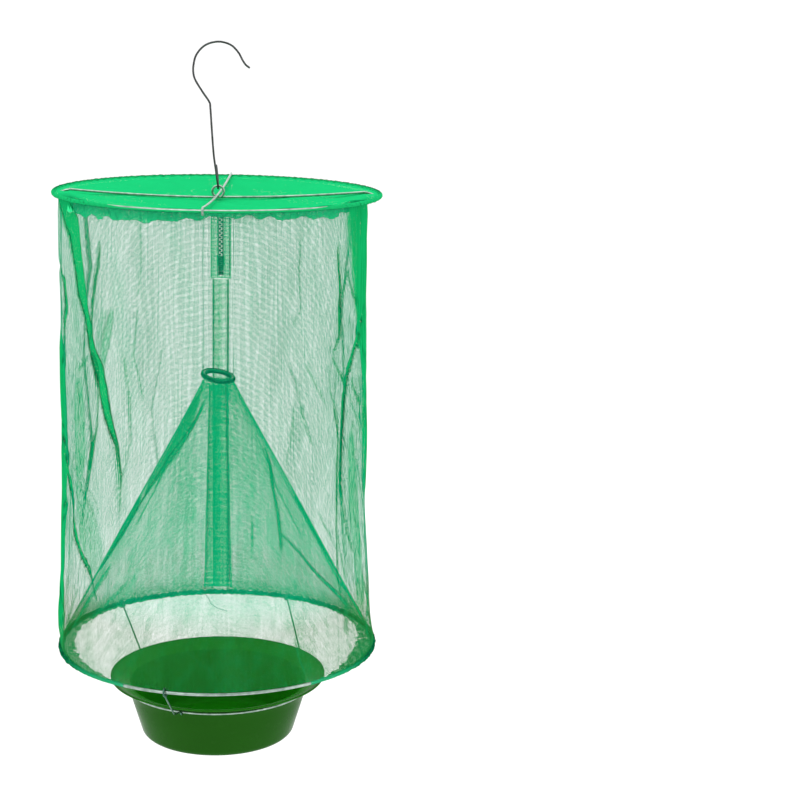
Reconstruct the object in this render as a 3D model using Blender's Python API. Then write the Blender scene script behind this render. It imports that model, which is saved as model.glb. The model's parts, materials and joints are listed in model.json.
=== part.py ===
"""Hanging net trap for wasps and flies, as an assembly of separate pieces.

Two wire hoops hold a net cylinder open. A net funnel rises inside it from the lower hoop, and a
bait bowl hangs below in a smaller hoop. Two crossed wires span the top hoop. One of them has an
eye at its middle, and the hanging hook is folded through that eye.

Metres, +Z up. The origin is the inside of the hook's crown, where the trap hangs from a nail or a
twig, and +Y is the back, where the zip is.
"""

import math

import bmesh
import bpy
from mathutils import Matrix, Vector

for old in list(bpy.data.objects):
    bpy.data.objects.remove(old, do_unlink=True)

MM = 0.001
GAP = 0.3 * MM  # kept between pieces that touch

# Driving dimensions
HOOP_R = 110 * MM  # centre line of the two hoops that hold the net
HOOP_WIRE_R = 1.0 * MM
CAGE_H = 318 * MM  # from hoop to hoop
NET_T = 0.5 * MM
HOOK_RISE = 100.4 * MM  # crown of the hook above the top hoop, at the wire's centre line
HOOK_WIRE_R = 0.7 * MM
BAR_WIRE_R = 0.8 * MM
FUNNEL_H = 191 * MM
TIP_R = 10.2 * MM
BOWL_R = 76 * MM
BOWL_DROP = 24 * MM  # from the lower hoop down to the bowl's rim
BOWL_H = 44 * MM
BOWL_HOOP_R = 66 * MM
BOWL_HOOP_WIRE_R = 0.9 * MM
HANGER_WIRE_R = 0.6 * MM
# degrees round from +X at the lower hoop and at the bowl
HANGER_ANGLES = {"front": (-109.0, -112.0), "left": (130.5, 136.0), "right": (61.0, 40.0)}
ZIP_X = 2 * MM  # the zip's middle line, a little to one side of the back

# Levels that follow from them
RIM_Z = -(HOOK_RISE - HOOK_WIRE_R)
BASE_Z = RIM_Z - CAGE_H
TIP_Z = BASE_Z + FUNNEL_H
BOWL_RIM_Z = BASE_Z - BOWL_DROP
BOWL_BASE_Z = BOWL_RIM_Z - BOWL_H

# The crossed wires: how high they pass over the hoop, and how far they sag
BAR_OVER_HOOP = HOOP_WIRE_R + GAP + BAR_WIRE_R
EYE_BAR_SAG = 5.4 * MM
EYE_R = 3.85 * MM
EYE_LOW_Z = RIM_Z + BAR_OVER_HOOP - EYE_BAR_SAG
EYE_TOP_Z = EYE_LOW_Z + 2 * EYE_R
PLAIN_BAR_SAG = EYE_BAR_SAG - 2 * BAR_WIRE_R - GAP
PLAIN_BAR_TURN = math.radians(5)  # it runs a little off the front-back line
COVER_R = HOOP_R - HOOP_WIRE_R - 0.4 * MM
COVER_SAG = 5.9 * MM

# The net wall, from top to bottom: height above the lower hoop, and outer radius
WALL_TOP_R = 106.6 * MM
WALL_WAIST_R = 105.8 * MM
WALL_LOW_R = 110.2 * MM
WALL_TOP_Z = RIM_Z - 1.5 * MM
WALL_LOW_Z = BASE_Z + 3.8 * MM  # clear of the hangers, which are coiled round the hoop
ZIP_FOOT_Z = RIM_Z - 75.5 * MM

HEM_INNER_R = HOOP_WIRE_R + 0.35 * MM
HEM_OUTER_R = HEM_INNER_R + NET_T
TIP_WIRE_R = 1.2 * MM
TIP_HEM_INNER_R = TIP_WIRE_R + GAP
TIP_HEM_OUTER_R = TIP_HEM_INNER_R + 0.4 * MM
TIP_TILT = math.radians(10)  # its left side is higher
TIP_LEAN = math.radians(8)  # its front is lower

BOWL_WALL = 1.2 * MM
BOWL_NECK_R = 63 * MM  # where the body meets the sloping lip
BOWL_LIP_H = 6.5 * MM
BOWL_FOOT_R = 54.5 * MM


# Materials


def material(name, color, roughness, metallic=0.0):
    made = bpy.data.materials.new(name)
    made.use_nodes = True
    shader = made.node_tree.nodes["Principled BSDF"]
    shader.inputs["Base Color"].default_value = (*color, 1.0)
    shader.inputs["Roughness"].default_value = roughness
    shader.inputs["Metallic"].default_value = metallic
    return made


HOOK_STEEL = material("hook_steel", (0.16, 0.17, 0.17), 0.35, 1.0)
WIRE_STEEL = material("wire_steel", (0.45, 0.50, 0.47), 0.35, 1.0)
PALE_NET = material("pale_net", (0.42, 0.72, 0.58), 0.85)
GREEN_NET = material("green_net", (0.05, 0.66, 0.26), 0.8)
SEAM_TAPE = material("seam_tape", (0.10, 0.50, 0.27), 0.85)
ZIP_PLASTIC = material("zip_plastic", (0.05, 0.36, 0.20), 0.5)
ZIP_METAL = material("zip_metal", (0.05, 0.16, 0.11), 0.4, 1.0)
BOWL_PLASTIC = material("bowl_plastic", (0.02, 0.22, 0.03), 0.25)
THREAD = material("tie_thread", (0.30, 0.62, 0.48), 0.9)


# Building blocks


def add_object(name, data, look):
    data.materials.append(look)
    made = bpy.data.objects.new(name, data)
    bpy.context.scene.collection.objects.link(made)
    return made


def add_mesh(name, bm, look):
    bmesh.ops.recalc_face_normals(bm, faces=bm.faces)
    mesh = bpy.data.meshes.new(name)
    bm.to_mesh(mesh)
    bm.free()
    mesh.shade_smooth()
    mesh.set_sharp_from_angle(angle=math.radians(35))
    return add_object(name, mesh, look)


def on_circle(radius, angle, z=0.0):
    return Vector((radius * math.cos(angle), radius * math.sin(angle), z))


def ring_of_sections(bm, sections, closed_section):
    """Skins a closed chain of sections, each the same number of points, all the way round."""
    loops = [[bm.verts.new(point) for point in section] for section in sections]
    count = len(sections[0])
    for i, loop in enumerate(loops):
        after = loops[(i + 1) % len(loops)]
        for k in range(count if closed_section else count - 1):
            m = (k + 1) % count
            bm.faces.new((loop[k], after[k], after[m], loop[m]))
    return loops


def turned(name, profile, look, segments=60):
    """A closed ring of revolution: profile is a closed outline of (radius, z) points."""
    bm = bmesh.new()
    sections = []
    for i in range(segments):
        angle = 2 * math.pi * i / segments
        sections.append([on_circle(r, angle, z) for r, z in profile])
    ring_of_sections(bm, sections, closed_section=True)
    return add_mesh(name, bm, look)


def turned_disc(name, upper, lower, look, segments=48):
    """A body of revolution that reaches its axis: both outlines run from the axis outwards."""
    bm = bmesh.new()
    outline = upper[1:] + lower[:0:-1]
    sections = []
    for i in range(segments):
        angle = 2 * math.pi * i / segments
        sections.append([on_circle(r, angle, z) for r, z in outline])
    loops = ring_of_sections(bm, sections, closed_section=False)
    for middle, k in ((upper[0], 0), (lower[0], len(outline) - 1)):
        centre = bm.verts.new((0, 0, middle[1]))
        for i, loop in enumerate(loops):
            bm.faces.new((centre, loop[k], loops[(i + 1) % segments][k]))
    return add_mesh(name, bm, look)


def wire_ring(name, radius, wire_r, z, look, segments=60, sides=6):
    profile = []
    for k in range(sides):
        turn = 2 * math.pi * (k + 0.5) / sides
        profile.append((radius + wire_r * math.cos(turn), z + wire_r * math.sin(turn)))
    return turned(name, profile, look, segments)


def hem_profile(radius, z, inner, outer, slot_at, slot_half, steps=6):
    """A C section round a hoop's wire, open over the slot."""
    first, last = slot_at + slot_half, slot_at - slot_half + 2 * math.pi
    turns = [first + (last - first) * k / steps for k in range(steps + 1)]
    around = [(radius + outer * math.cos(t), z + outer * math.sin(t)) for t in turns]
    back = [(radius + inner * math.cos(t), z + inner * math.sin(t)) for t in reversed(turns)]
    return around + back


def smooth_route(points, step):
    """Points about step apart on a Catmull-Rom curve through the given ones."""
    points = [Vector(p) for p in points]
    ends = [2 * points[0] - points[1]] + points + [2 * points[-1] - points[-2]]
    route = []
    for i in range(1, len(ends) - 2):
        a, b, c, d = ends[i - 1 : i + 3]
        count = max(1, round((c - b).length / step))
        for k in range(count):
            t = k / count
            route.append(
                0.5
                * (
                    2 * b
                    + (c - a) * t
                    + (2 * a - 5 * b + 4 * c - d) * t * t
                    + (3 * b - 3 * c + d - a) * t**3
                )
            )
    return route + [points[-1]]


def wire(name, route, wire_r, look, sides=6):
    """A bent wire: a curve with a round bevel and filled ends."""
    curve = bpy.data.curves.new(name, "CURVE")
    curve.dimensions = "3D"
    curve.bevel_depth = wire_r
    curve.bevel_resolution = (sides - 4) // 2
    curve.use_fill_caps = True
    spline = curve.splines.new("POLY")
    spline.points.add(len(route) - 1)
    for point, place in zip(spline.points, route):
        point.co = (*place, 1.0)
    return add_object(name, curve, look)


def box(name, low, high, look):
    bm = bmesh.new()
    bmesh.ops.create_cube(bm, size=1.0)
    low, high = Vector(low), Vector(high)
    for v in bm.verts:
        v.co = (low + high) / 2 + Vector(c * s for c, s in zip(v.co, high - low))
    return add_mesh(name, bm, look)


def slab(name, outline, y_low, y_high, look):
    """An outline of (x, z) points, as thick as from y_low to y_high."""
    bm = bmesh.new()
    face = bm.faces.new([bm.verts.new((x, y_low, z)) for x, z in outline])
    grown = bmesh.ops.extrude_face_region(bm, geom=[face])
    bmesh.ops.translate(
        bm,
        vec=(0, y_high - y_low, 0),
        verts=[v for v in grown["geom"] if isinstance(v, bmesh.types.BMVert)],
    )
    return add_mesh(name, bm, look)


def cut(target, cutter):
    """Leaves the cutter's shape open in the target."""
    cutter.hide_render = True
    cutter.display_type = "WIRE"
    hole = target.modifiers.new("opening", "BOOLEAN")
    hole.operation = "DIFFERENCE"
    hole.object = cutter


# The hook and the crossed wires

FOLD_R = BAR_WIRE_R + GAP + HOOK_WIRE_R  # the fold's centre line, round the eye's wire


def hook_route():
    """The crown and the shank lie across the trap; the fold below goes front to back."""
    crown = [
        (20.7, 83.7), (18.4, 85.4), (16.2, 88.6), (13.4, 93.6), (8.2, 98.5), (0, 100.4),
        (-8.6, 97.9), (-14.4, 91.6), (-16.4, 84.4), (-16.4, 79.0), (-14.9, 74.4), (-10.4, 67.2),
        (-5.9, 60.6), (-5.2, 57.0),
    ]
    places = [Vector((x * MM, 0, RIM_Z + z * MM)) for x, z in crown]
    places.append(Vector((-4.2 * MM, 0, RIM_Z + 42 * MM)))
    places.append(Vector((-3.0 * MM, -0.3 * MM, RIM_Z + 26 * MM)))
    places.append(Vector((-1.4 * MM, -1.4 * MM, RIM_Z + 14 * MM)))
    route = smooth_route(places, 3.5 * MM)
    for step in range(9):
        turn = math.pi + math.pi * step / 8
        route.append(Vector((0, FOLD_R * math.cos(turn), EYE_TOP_Z + FOLD_R * math.sin(turn))))
    route.append(Vector((-0.4 * MM, 1.8 * MM, RIM_Z + 11 * MM)))
    route.append(Vector((-1.2 * MM, 1.6 * MM, RIM_Z + 18 * MM)))
    return route


def bar_end(direction, bend_from, bend_to):
    """A bar's end bent down round the outside of the top hoop."""
    places = []
    steps = 6
    for step in range(steps + 1):
        turn = bend_from + (bend_to - bend_from) * step / steps
        out = HOOP_R + BAR_OVER_HOOP * math.cos(turn)
        places.append(direction * out + Vector((0, 0, RIM_Z + BAR_OVER_HOOP * math.sin(turn))))
    return places


def bar_height(share, sag):
    """How high a bar lies at this share of the way from its middle to the hoop."""
    return RIM_Z + BAR_OVER_HOOP - sag * (1 - share * share)


BAR_TAIL = math.radians(-80)  # how far the plain bar's ends go round the hoop


def eye_bar_route():
    """Its ends lie flat on top of the hoop, where they are spot-welded."""
    shift = BAR_WIRE_R + GAP / 2
    shares = (1.004, 0.9, 0.72, 0.54, 0.36, 0.2, 0.09)
    route = []
    for share in shares:
        fade = max(0.0, 1 - share / 0.36)
        route.append(Vector((-HOOP_R * share, -shift * fade, bar_height(share, EYE_BAR_SAG))))
    steps = 16
    for step in range(steps + 1):
        turn = -math.pi / 2 + 2 * math.pi * step / steps
        along = step / steps
        route.append(
            Vector(
                (
                    EYE_R * math.cos(turn),
                    shift * (2 * along - 1),
                    EYE_LOW_Z + EYE_R + EYE_R * math.sin(turn),
                )
            )
        )
    for share in reversed(shares):
        fade = max(0.0, 1 - share / 0.36)
        route.append(Vector((HOOP_R * share, shift * fade, bar_height(share, EYE_BAR_SAG))))
    return route


def plain_bar_route():
    back = Vector((math.sin(PLAIN_BAR_TURN), math.cos(PLAIN_BAR_TURN), 0))
    route = bar_end(-back, BAR_TAIL, math.pi / 2)
    for share in (-0.9, -0.7, -0.45, -0.2, 0, 0.2, 0.45, 0.7, 0.9):
        route.append(back * (HOOP_R * share) + Vector((0, 0, bar_height(share, PLAIN_BAR_SAG))))
    return route + bar_end(back, math.pi / 2, BAR_TAIL)


def hanging_parts():
    wire("hanging_hook", hook_route(), HOOK_WIRE_R, HOOK_STEEL)
    wire("eye_crossbar", eye_bar_route(), BAR_WIRE_R, WIRE_STEEL)
    wire("plain_crossbar", plain_bar_route(), BAR_WIRE_R, WIRE_STEEL)
    wire_ring("top_rim_hoop", HOOP_R, HOOP_WIRE_R, RIM_Z, WIRE_STEEL)


# The net: top, wall, hems and seams


def top_cover():
    upper = []
    lower = []
    rings = (0, 0.35, 0.65, 0.85, 1.0)
    for share in rings:
        z = RIM_Z - COVER_SAG * (1 - share * share)
        upper.append((COVER_R * share, z + NET_T / 2))
        lower.append((COVER_R * share, z - NET_T / 2))
    turned_disc("top_cover_net", upper, lower, GREEN_NET)


def wall_radius(z):
    """The wall's outer radius: straight beside the zip, then drawn in between the hoops."""
    if z > ZIP_FOOT_Z:
        return WALL_TOP_R
    share = (ZIP_FOOT_Z - z) / (ZIP_FOOT_Z - WALL_LOW_Z)
    straight = WALL_TOP_R + (WALL_LOW_R - WALL_TOP_R) * share**2
    drawn_in = WALL_TOP_R - WALL_WAIST_R + (WALL_LOW_R - WALL_TOP_R) / 4
    return straight - drawn_in * math.sin(math.pi * share) ** 2


def wall_levels(count):
    tall = ZIP_FOOT_Z - WALL_LOW_Z
    return [ZIP_FOOT_Z - tall * i / count for i in range(count + 1)]


ZIP_TAPE_W = 5.4 * MM
ZIP_CHAIN_HALF = 1.9 * MM  # from the middle line to the outside of one row of teeth
SLOT_HALF = ZIP_CHAIN_HALF + ZIP_TAPE_W + 2 * GAP


def side_wall():
    levels = [WALL_TOP_Z] + wall_levels(6)
    outer = [(wall_radius(z), z) for z in levels]
    inner = [(r - NET_T, z) for r, z in reversed(outer)]
    wall = turned("side_wall_net", outer + inner, PALE_NET, segments=54)
    slot = box(
        "zip_slot_cutter",
        (ZIP_X - SLOT_HALF, HOOP_R / 2, ZIP_FOOT_Z),
        (ZIP_X + SLOT_HALF, HOOP_R * 1.5, RIM_Z),
        PALE_NET,
    )
    cut(wall, slot)


def curved_strip(name, levels, radius_at, half_width_at, middle_angle, look):
    """A band along a net surface: it follows the surface's curve and has the net's thickness."""
    columns = (-1.0, -0.33, 0.33, 1.0)
    bm = bmesh.new()
    grids = []
    for depth in (0.0, NET_T):
        grid = []
        for z in levels:
            row = []
            for c in columns:
                r = radius_at(z) - depth
                row.append(bm.verts.new(on_circle(r, middle_angle + c * half_width_at(z) / r, z)))
            grid.append(row)
        grids.append(grid)
    outer, inner = grids
    high, wide = len(levels), len(columns)
    for i in range(high - 1):
        for k in range(wide - 1):
            for grid in grids:
                bm.faces.new((grid[i][k], grid[i][k + 1], grid[i + 1][k + 1], grid[i + 1][k]))
        for k in (0, wide - 1):
            bm.faces.new((outer[i][k], inner[i][k], inner[i + 1][k], outer[i + 1][k]))
    for i in (0, high - 1):
        for k in range(wide - 1):
            bm.faces.new((outer[i][k], outer[i][k + 1], inner[i][k + 1], inner[i][k]))
    return add_mesh(name, bm, look)


def back_seam():
    levels = [ZIP_FOOT_Z - GAP] + wall_levels(6)[1:]
    curved_strip(
        "back_seam_band",
        levels,
        lambda z: wall_radius(z) + GAP + NET_T,
        lambda z: 6.2 * MM,
        math.pi / 2 - ZIP_X / HOOP_R,
        SEAM_TAPE,
    )


def top_hem():
    outer_r = WALL_TOP_R - NET_T - 0.4 * MM
    low, high = RIM_Z - 10 * MM, RIM_Z - 1.6 * MM
    inner_r = outer_r - NET_T
    half = math.asin((SLOT_HALF + 2 * GAP) / outer_r)
    middle = math.pi / 2 - ZIP_X / HOOP_R
    bm = bmesh.new()
    steps = 54
    rows = []
    for step in range(steps + 1):
        angle = middle + half + (2 * math.pi - 2 * half) * step / steps
        rows.append(
            [
                bm.verts.new(on_circle(r, angle, z))
                for r, z in ((outer_r, high), (outer_r, low), (inner_r, low), (inner_r, high))
            ]
        )
    for first, after in zip(rows, rows[1:]):
        for k in range(4):
            m = (k + 1) % 4
            bm.faces.new((first[k], after[k], after[m], first[m]))
    bm.faces.new(rows[0])
    bm.faces.new(rows[-1])
    add_mesh("top_hem_band", bm, GREEN_NET)


# The zip, in a slot at the top of the back

ZIP_Y = WALL_TOP_R - NET_T / 2  # the middle of its tapes
CHAIN_FOOT_Z = RIM_Z - 69.5 * MM
CHAIN_TOP_Z = RIM_Z - 6 * MM
CHAIN_T = 1.6 * MM
TOOTH_PITCH = 3.2 * MM
TOOTH_H = TOOTH_PITCH / 2 - GAP
SLIDER_TOP_Z = RIM_Z - 58.6 * MM
SLIDER_H = 7.0 * MM
SLIDER_W = 5.6 * MM
PLATE_Y = ZIP_Y + CHAIN_T / 2 + GAP
PLATE_T = 0.8 * MM
PULL_PIVOT_Z = SLIDER_TOP_Z - 1.8 * MM
PULL_Y = PLATE_Y + PLATE_T + 1.0 * MM
BAIL_WIRE_R = 0.45 * MM
BAIL_HALF = 1.3 * MM  # from the pull's axis to either leg of the bail
PULL_EYE_DROP = 1.35 * MM  # from the pull's axis to the middle of its eye


def zip_tape(name, side):
    inside = ZIP_X + side * (ZIP_CHAIN_HALF + GAP)
    outside = inside + side * ZIP_TAPE_W
    low = (min(inside, outside), ZIP_Y - NET_T / 2, ZIP_FOOT_Z + GAP)
    high = (max(inside, outside), ZIP_Y + NET_T / 2, RIM_Z - 1.8 * MM)
    box(name, low, high, SEAM_TAPE)


def zip_chain(name, side):
    """One row of teeth on its cord; the two rows mesh, each in the other's gaps."""
    spine_in = 0.9 * MM
    reach = -0.55 * MM  # past the middle line, between the other row's teeth
    first = CHAIN_FOOT_Z + (GAP / 2 if side > 0 else GAP / 2 + TOOTH_PITCH / 2)
    teeth = int((CHAIN_TOP_Z - first) / TOOTH_PITCH)
    outline = [(ZIP_CHAIN_HALF, CHAIN_FOOT_Z), (spine_in, CHAIN_FOOT_Z)]
    for tooth in range(teeth):
        low = first + tooth * TOOTH_PITCH
        outline += [(spine_in, low), (reach, low), (reach, low + TOOTH_H), (spine_in, low + TOOTH_H)]
    outline += [(spine_in, CHAIN_TOP_Z), (ZIP_CHAIN_HALF, CHAIN_TOP_Z)]
    placed = [(ZIP_X + side * x, z) for x, z in outline]
    slab(name, placed, ZIP_Y - CHAIN_T / 2, ZIP_Y + CHAIN_T / 2, ZIP_PLASTIC)


def zip_stops():
    half_t = CHAIN_T / 2
    for name, side in (("zip_top_stop_left", -1), ("zip_top_stop_right", 1)):
        ends = sorted((ZIP_X + side * 0.3 * MM, ZIP_X + side * ZIP_CHAIN_HALF))
        low = (ends[0], ZIP_Y - half_t, CHAIN_TOP_Z + GAP)
        high = (ends[1], ZIP_Y + half_t, CHAIN_TOP_Z + 2.4 * MM)
        box(name, low, high, ZIP_METAL)
    box(
        "zip_bottom_stop",
        (ZIP_X - ZIP_CHAIN_HALF, ZIP_Y - half_t, CHAIN_FOOT_Z - 3.0 * MM),
        (ZIP_X + ZIP_CHAIN_HALF, ZIP_Y + half_t, CHAIN_FOOT_Z - GAP),
        ZIP_METAL,
    )


def zip_slider():
    """A plate over the teeth with a flange down each side of them, and a bail for the pull."""
    flange_in = ZIP_CHAIN_HALF + 0.35 * MM
    flange_low = ZIP_Y + NET_T / 2 + GAP
    half = SLIDER_W / 2 + 0.2 * MM
    top = PLATE_Y + PLATE_T
    section = [
        (-half, flange_low), (-half, top), (half, top), (half, flange_low),
        (flange_in, flange_low), (flange_in, PLATE_Y), (-flange_in, PLATE_Y),
        (-flange_in, flange_low),
    ]
    bm = bmesh.new()
    low, high = SLIDER_TOP_Z - SLIDER_H, SLIDER_TOP_Z
    face = bm.faces.new([bm.verts.new((ZIP_X + x, y, low)) for x, y in section])
    grown = bmesh.ops.extrude_face_region(bm, geom=[face])
    bmesh.ops.translate(
        bm,
        vec=(0, 0, high - low),
        verts=[v for v in grown["geom"] if isinstance(v, bmesh.types.BMVert)],
    )
    body = add_mesh("zip_slider", bm, ZIP_METAL)
    root_y = top - 0.3 * MM
    arch = PULL_Y + 1.25 * MM - root_y
    steps = 8
    route = []
    for step in range(steps + 1):
        turn = math.pi * step / steps
        place = (ZIP_X, root_y + arch * math.sin(turn), PULL_PIVOT_Z + BAIL_HALF * math.cos(turn))
        route.append(Vector(place))
    bail = wire("zip_bail_shape", route, BAIL_WIRE_R, ZIP_METAL)
    bail.hide_render = True
    bail.display_type = "WIRE"
    joined = body.modifiers.new("bail", "BOOLEAN")
    joined.operation = "UNION"
    joined.object = solid_copy(bail)
    return body


def solid_copy(curve_object):
    """The curve's own surface as a mesh object, for a Boolean; it is a guide and not a piece."""
    evaluated = curve_object.evaluated_get(bpy.context.evaluated_depsgraph_get())
    mesh = bpy.data.meshes.new_from_object(evaluated)
    bm = bmesh.new()
    bm.from_mesh(mesh)
    bmesh.ops.remove_doubles(bm, verts=bm.verts, dist=0.00001)
    bmesh.ops.recalc_face_normals(bm, faces=bm.faces)
    bm.to_mesh(mesh)
    bm.free()
    made = bpy.data.objects.new(curve_object.name + "_mesh", mesh)
    bpy.context.scene.collection.objects.link(made)
    made.hide_render = True
    made.display_type = "WIRE"
    return made


def zip_pull():
    """A flat tab, built hanging. Its axis is the bar over its eye, which turns in the bail."""
    eye_r, hole_r, tab_half, tab_low = 1.8 * MM, 0.95 * MM, 1.3 * MM, -10.2 * MM
    outline = []
    for step in range(13):
        turn = math.radians(-30) + math.radians(240) * step / 12
        outline.append((eye_r * math.cos(turn), eye_r * math.sin(turn) - PULL_EYE_DROP))
    outline += [(-tab_half, -4 * MM), (-tab_half, tab_low + 0.8 * MM), (-0.6 * MM, tab_low)]
    outline += [(0.6 * MM, tab_low), (tab_half, tab_low + 0.8 * MM), (tab_half, -4 * MM)]
    half_t = 0.35 * MM
    tab = slab("zip_pull_tab", outline, -half_t, half_t, ZIP_METAL)
    bm = bmesh.new()
    bmesh.ops.create_cone(
        bm, cap_ends=True, segments=12, radius1=hole_r, radius2=hole_r, depth=6 * MM,
        matrix=Matrix.Rotation(math.pi / 2, 4, "X"),
    )
    hole = add_mesh("zip_pull_cutter", bm, ZIP_METAL)
    tab.location = (ZIP_X, PULL_Y, PULL_PIVOT_Z)
    hole.location = (ZIP_X, PULL_Y, PULL_PIVOT_Z - PULL_EYE_DROP)
    cut(tab, hole)
    return tab


def zip_parts():
    zip_tape("zip_tape_left", -1)
    zip_tape("zip_tape_right", 1)
    zip_chain("zip_chain_left", -1)
    zip_chain("zip_chain_right", 1)
    zip_stops()
    zip_slider()
    zip_pull()


# The lower hoop and the funnel

FUNNEL_FOOT_R = 109.2 * MM
FUNNEL_TOP_R = TIP_R + 0.9 * MM
FUNNEL_TOP_Z = TIP_Z - TIP_HEM_OUTER_R - 3.0 * MM  # clear of the tip's hem, which leans


def funnel_radius(z):
    share = (z - WALL_LOW_Z) / (FUNNEL_TOP_Z - WALL_LOW_Z)
    return FUNNEL_FOOT_R + (FUNNEL_TOP_R - FUNNEL_FOOT_R) * share


def funnel_parts():
    tall = FUNNEL_TOP_Z - WALL_LOW_Z
    levels = [WALL_LOW_Z + tall * share for share in (0, 0.33, 0.67, 1)]
    outer = [(funnel_radius(z), z) for z in levels]
    inner = [(r - NET_T, z) for r, z in reversed(outer)]
    turned("funnel_net", outer + inner, PALE_NET, segments=54)
    curved_strip(
        "funnel_seam_band",
        [WALL_LOW_Z + tall * share for share in (0.02, 0.33, 0.67, 0.98)],
        lambda z: funnel_radius(z) - NET_T - 0.6 * MM,
        lambda z: 6.5 * MM + 4.5 * MM * (FUNNEL_TOP_Z - z) / tall,
        math.pi / 2,
        SEAM_TAPE,
    )
    leaning = Matrix.Rotation(TIP_TILT, 4, "Y") @ Matrix.Rotation(TIP_LEAN, 4, "X")
    tilt = Matrix.Translation((0, 0, TIP_Z)) @ leaning
    ring = wire_ring("funnel_tip_ring", TIP_R, TIP_WIRE_R, 0, WIRE_STEEL, segments=28)
    hem = turned(
        "funnel_tip_hem",
        hem_profile(TIP_R, 0, TIP_HEM_INNER_R, TIP_HEM_OUTER_R, -math.pi / 2, 0.5),
        GREEN_NET,
        segments=28,
    )
    for piece in (ring, hem):
        piece.matrix_world = tilt
    for name, side in (("funnel_tie_left", -1), ("funnel_tie_right", 1)):
        low = TIP_Z + TIP_HEM_OUTER_R + GAP - side * TIP_R * math.sin(TIP_TILT)
        high = RIM_Z - COVER_SAG - NET_T / 2 - GAP
        route = [Vector((side * TIP_R, 0, low + (high - low) * k / 4)) for k in range(5)]
        wire(name, route, 0.35 * MM, THREAD)


def lower_parts():
    wire_ring("bottom_hoop", HOOP_R, HOOP_WIRE_R, BASE_Z, WIRE_STEEL)
    turned(
        "bottom_hem",
        hem_profile(HOOP_R, BASE_Z, HEM_INNER_R, HEM_OUTER_R, math.radians(-120), 0.45),
        GREEN_NET,
    )


# The bowl, its hoop and its hangers


def bowl_outline():
    """Half of the outer side of the bowl, from the middle of its base up to the lip's edge."""
    foot_round = 6 * MM
    outline = [(0, BOWL_BASE_Z)]
    for step in range(4):
        turn = math.radians(-90 + 26 * step)
        outline.append(
            (
                BOWL_FOOT_R - foot_round + foot_round * math.cos(turn),
                BOWL_BASE_Z + foot_round + foot_round * math.sin(turn),
            )
        )
    neck_z = BOWL_RIM_Z - BOWL_LIP_H
    outline += [
        (BOWL_NECK_R - 1.2 * MM, neck_z - 6 * MM),
        (BOWL_NECK_R, neck_z - 0.6 * MM),
        (BOWL_NECK_R + 1.0 * MM, neck_z + 0.4 * MM),
        (BOWL_R - 1.2 * MM, BOWL_RIM_Z - 1.3 * MM),
        (BOWL_R, BOWL_RIM_Z - 1.0 * MM),
    ]
    return outline


def bait_bowl():
    outer = bowl_outline()
    inner = [(0, BOWL_BASE_Z + BOWL_WALL)]
    for r, z in outer[1:-2]:
        inner.append((r - BOWL_WALL, z + BOWL_WALL * (1 if r < BOWL_FOOT_R else 0.9)))
    inner.append((BOWL_R - 2.0 * MM, BOWL_RIM_Z - 0.3 * MM))
    inner.append((BOWL_R - 0.5 * MM, BOWL_RIM_Z))
    turned_disc("bait_bowl", inner, outer, BOWL_PLASTIC, segments=54)


LIP_SLOPE = (BOWL_LIP_H - 1.7 * MM) / (BOWL_R - BOWL_NECK_R - 2.2 * MM)
LIP_LOW_AT_HOOP = BOWL_RIM_Z - BOWL_LIP_H + 0.4 * MM + (BOWL_HOOP_R - BOWL_NECK_R - MM) * LIP_SLOPE
BOWL_HOOP_Z = LIP_LOW_AT_HOOP - (BOWL_HOOP_WIRE_R + GAP) * math.hypot(1, LIP_SLOPE)


def bowl_hoop():
    wire_ring("bowl_hoop", BOWL_HOOP_R, BOWL_HOOP_WIRE_R, BOWL_HOOP_Z, WIRE_STEEL, segments=54)


def hanger_route(hoop_angle, bowl_angle):
    """From a coil round the lower hoop's hem, down under the bowl's lip, to a hook on its hoop."""
    out = on_circle(1, hoop_angle)
    low_out = on_circle(1, bowl_angle)
    along = Vector((-out.y, out.x, 0))
    coil_r = HEM_OUTER_R + GAP + HANGER_WIRE_R
    pitch = 2 * HANGER_WIRE_R + GAP
    turns, steps = 1.25, 14
    route = []
    for step in range(steps + 1):
        turn = math.radians(150) + turns * 2 * math.pi * step / steps
        shift = pitch * turns * (1 - step / steps)
        place = out * (HOOP_R + coil_r * math.cos(turn)) + along * shift
        route.append(place + Vector((0, 0, BASE_Z + coil_r * math.sin(turn))))
    knee = low_out * (BOWL_R + 3.0 * MM) + Vector((0, 0, BOWL_RIM_Z - 3.4 * MM))
    route.append(route[-1].lerp(knee, 0.5))
    route.append(knee)
    hook_r = BOWL_HOOP_WIRE_R + GAP + HANGER_WIRE_R
    for step in range(7):
        turn = math.radians(20 - 160 * step / 6)
        place = low_out * (BOWL_HOOP_R + hook_r * math.cos(turn))
        route.append(place + Vector((0, 0, BOWL_HOOP_Z + hook_r * math.sin(turn))))
    return route


def bowl_parts():
    bait_bowl()
    bowl_hoop()
    for side, angles in HANGER_ANGLES.items():
        route = hanger_route(*(math.radians(angle) for angle in angles))
        wire(f"hanger_wire_{side}", route, HANGER_WIRE_R, WIRE_STEEL)


hanging_parts()
top_cover()
side_wall()
back_seam()
top_hem()
zip_parts()
lower_parts()
funnel_parts()
bowl_parts()
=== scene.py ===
"""The looks of a hanging net trap for wasps and flies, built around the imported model.

Metres, +Z up, +Y the back. The nets are single sheets whose folds and fine crumple are real
geometry; their weave is in the material. Wires, hems, seams and the bowl are meshes made here.
"""

import json
import math

import bmesh
import bpy
import numpy as np
from mathutils import Matrix, Vector


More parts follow.
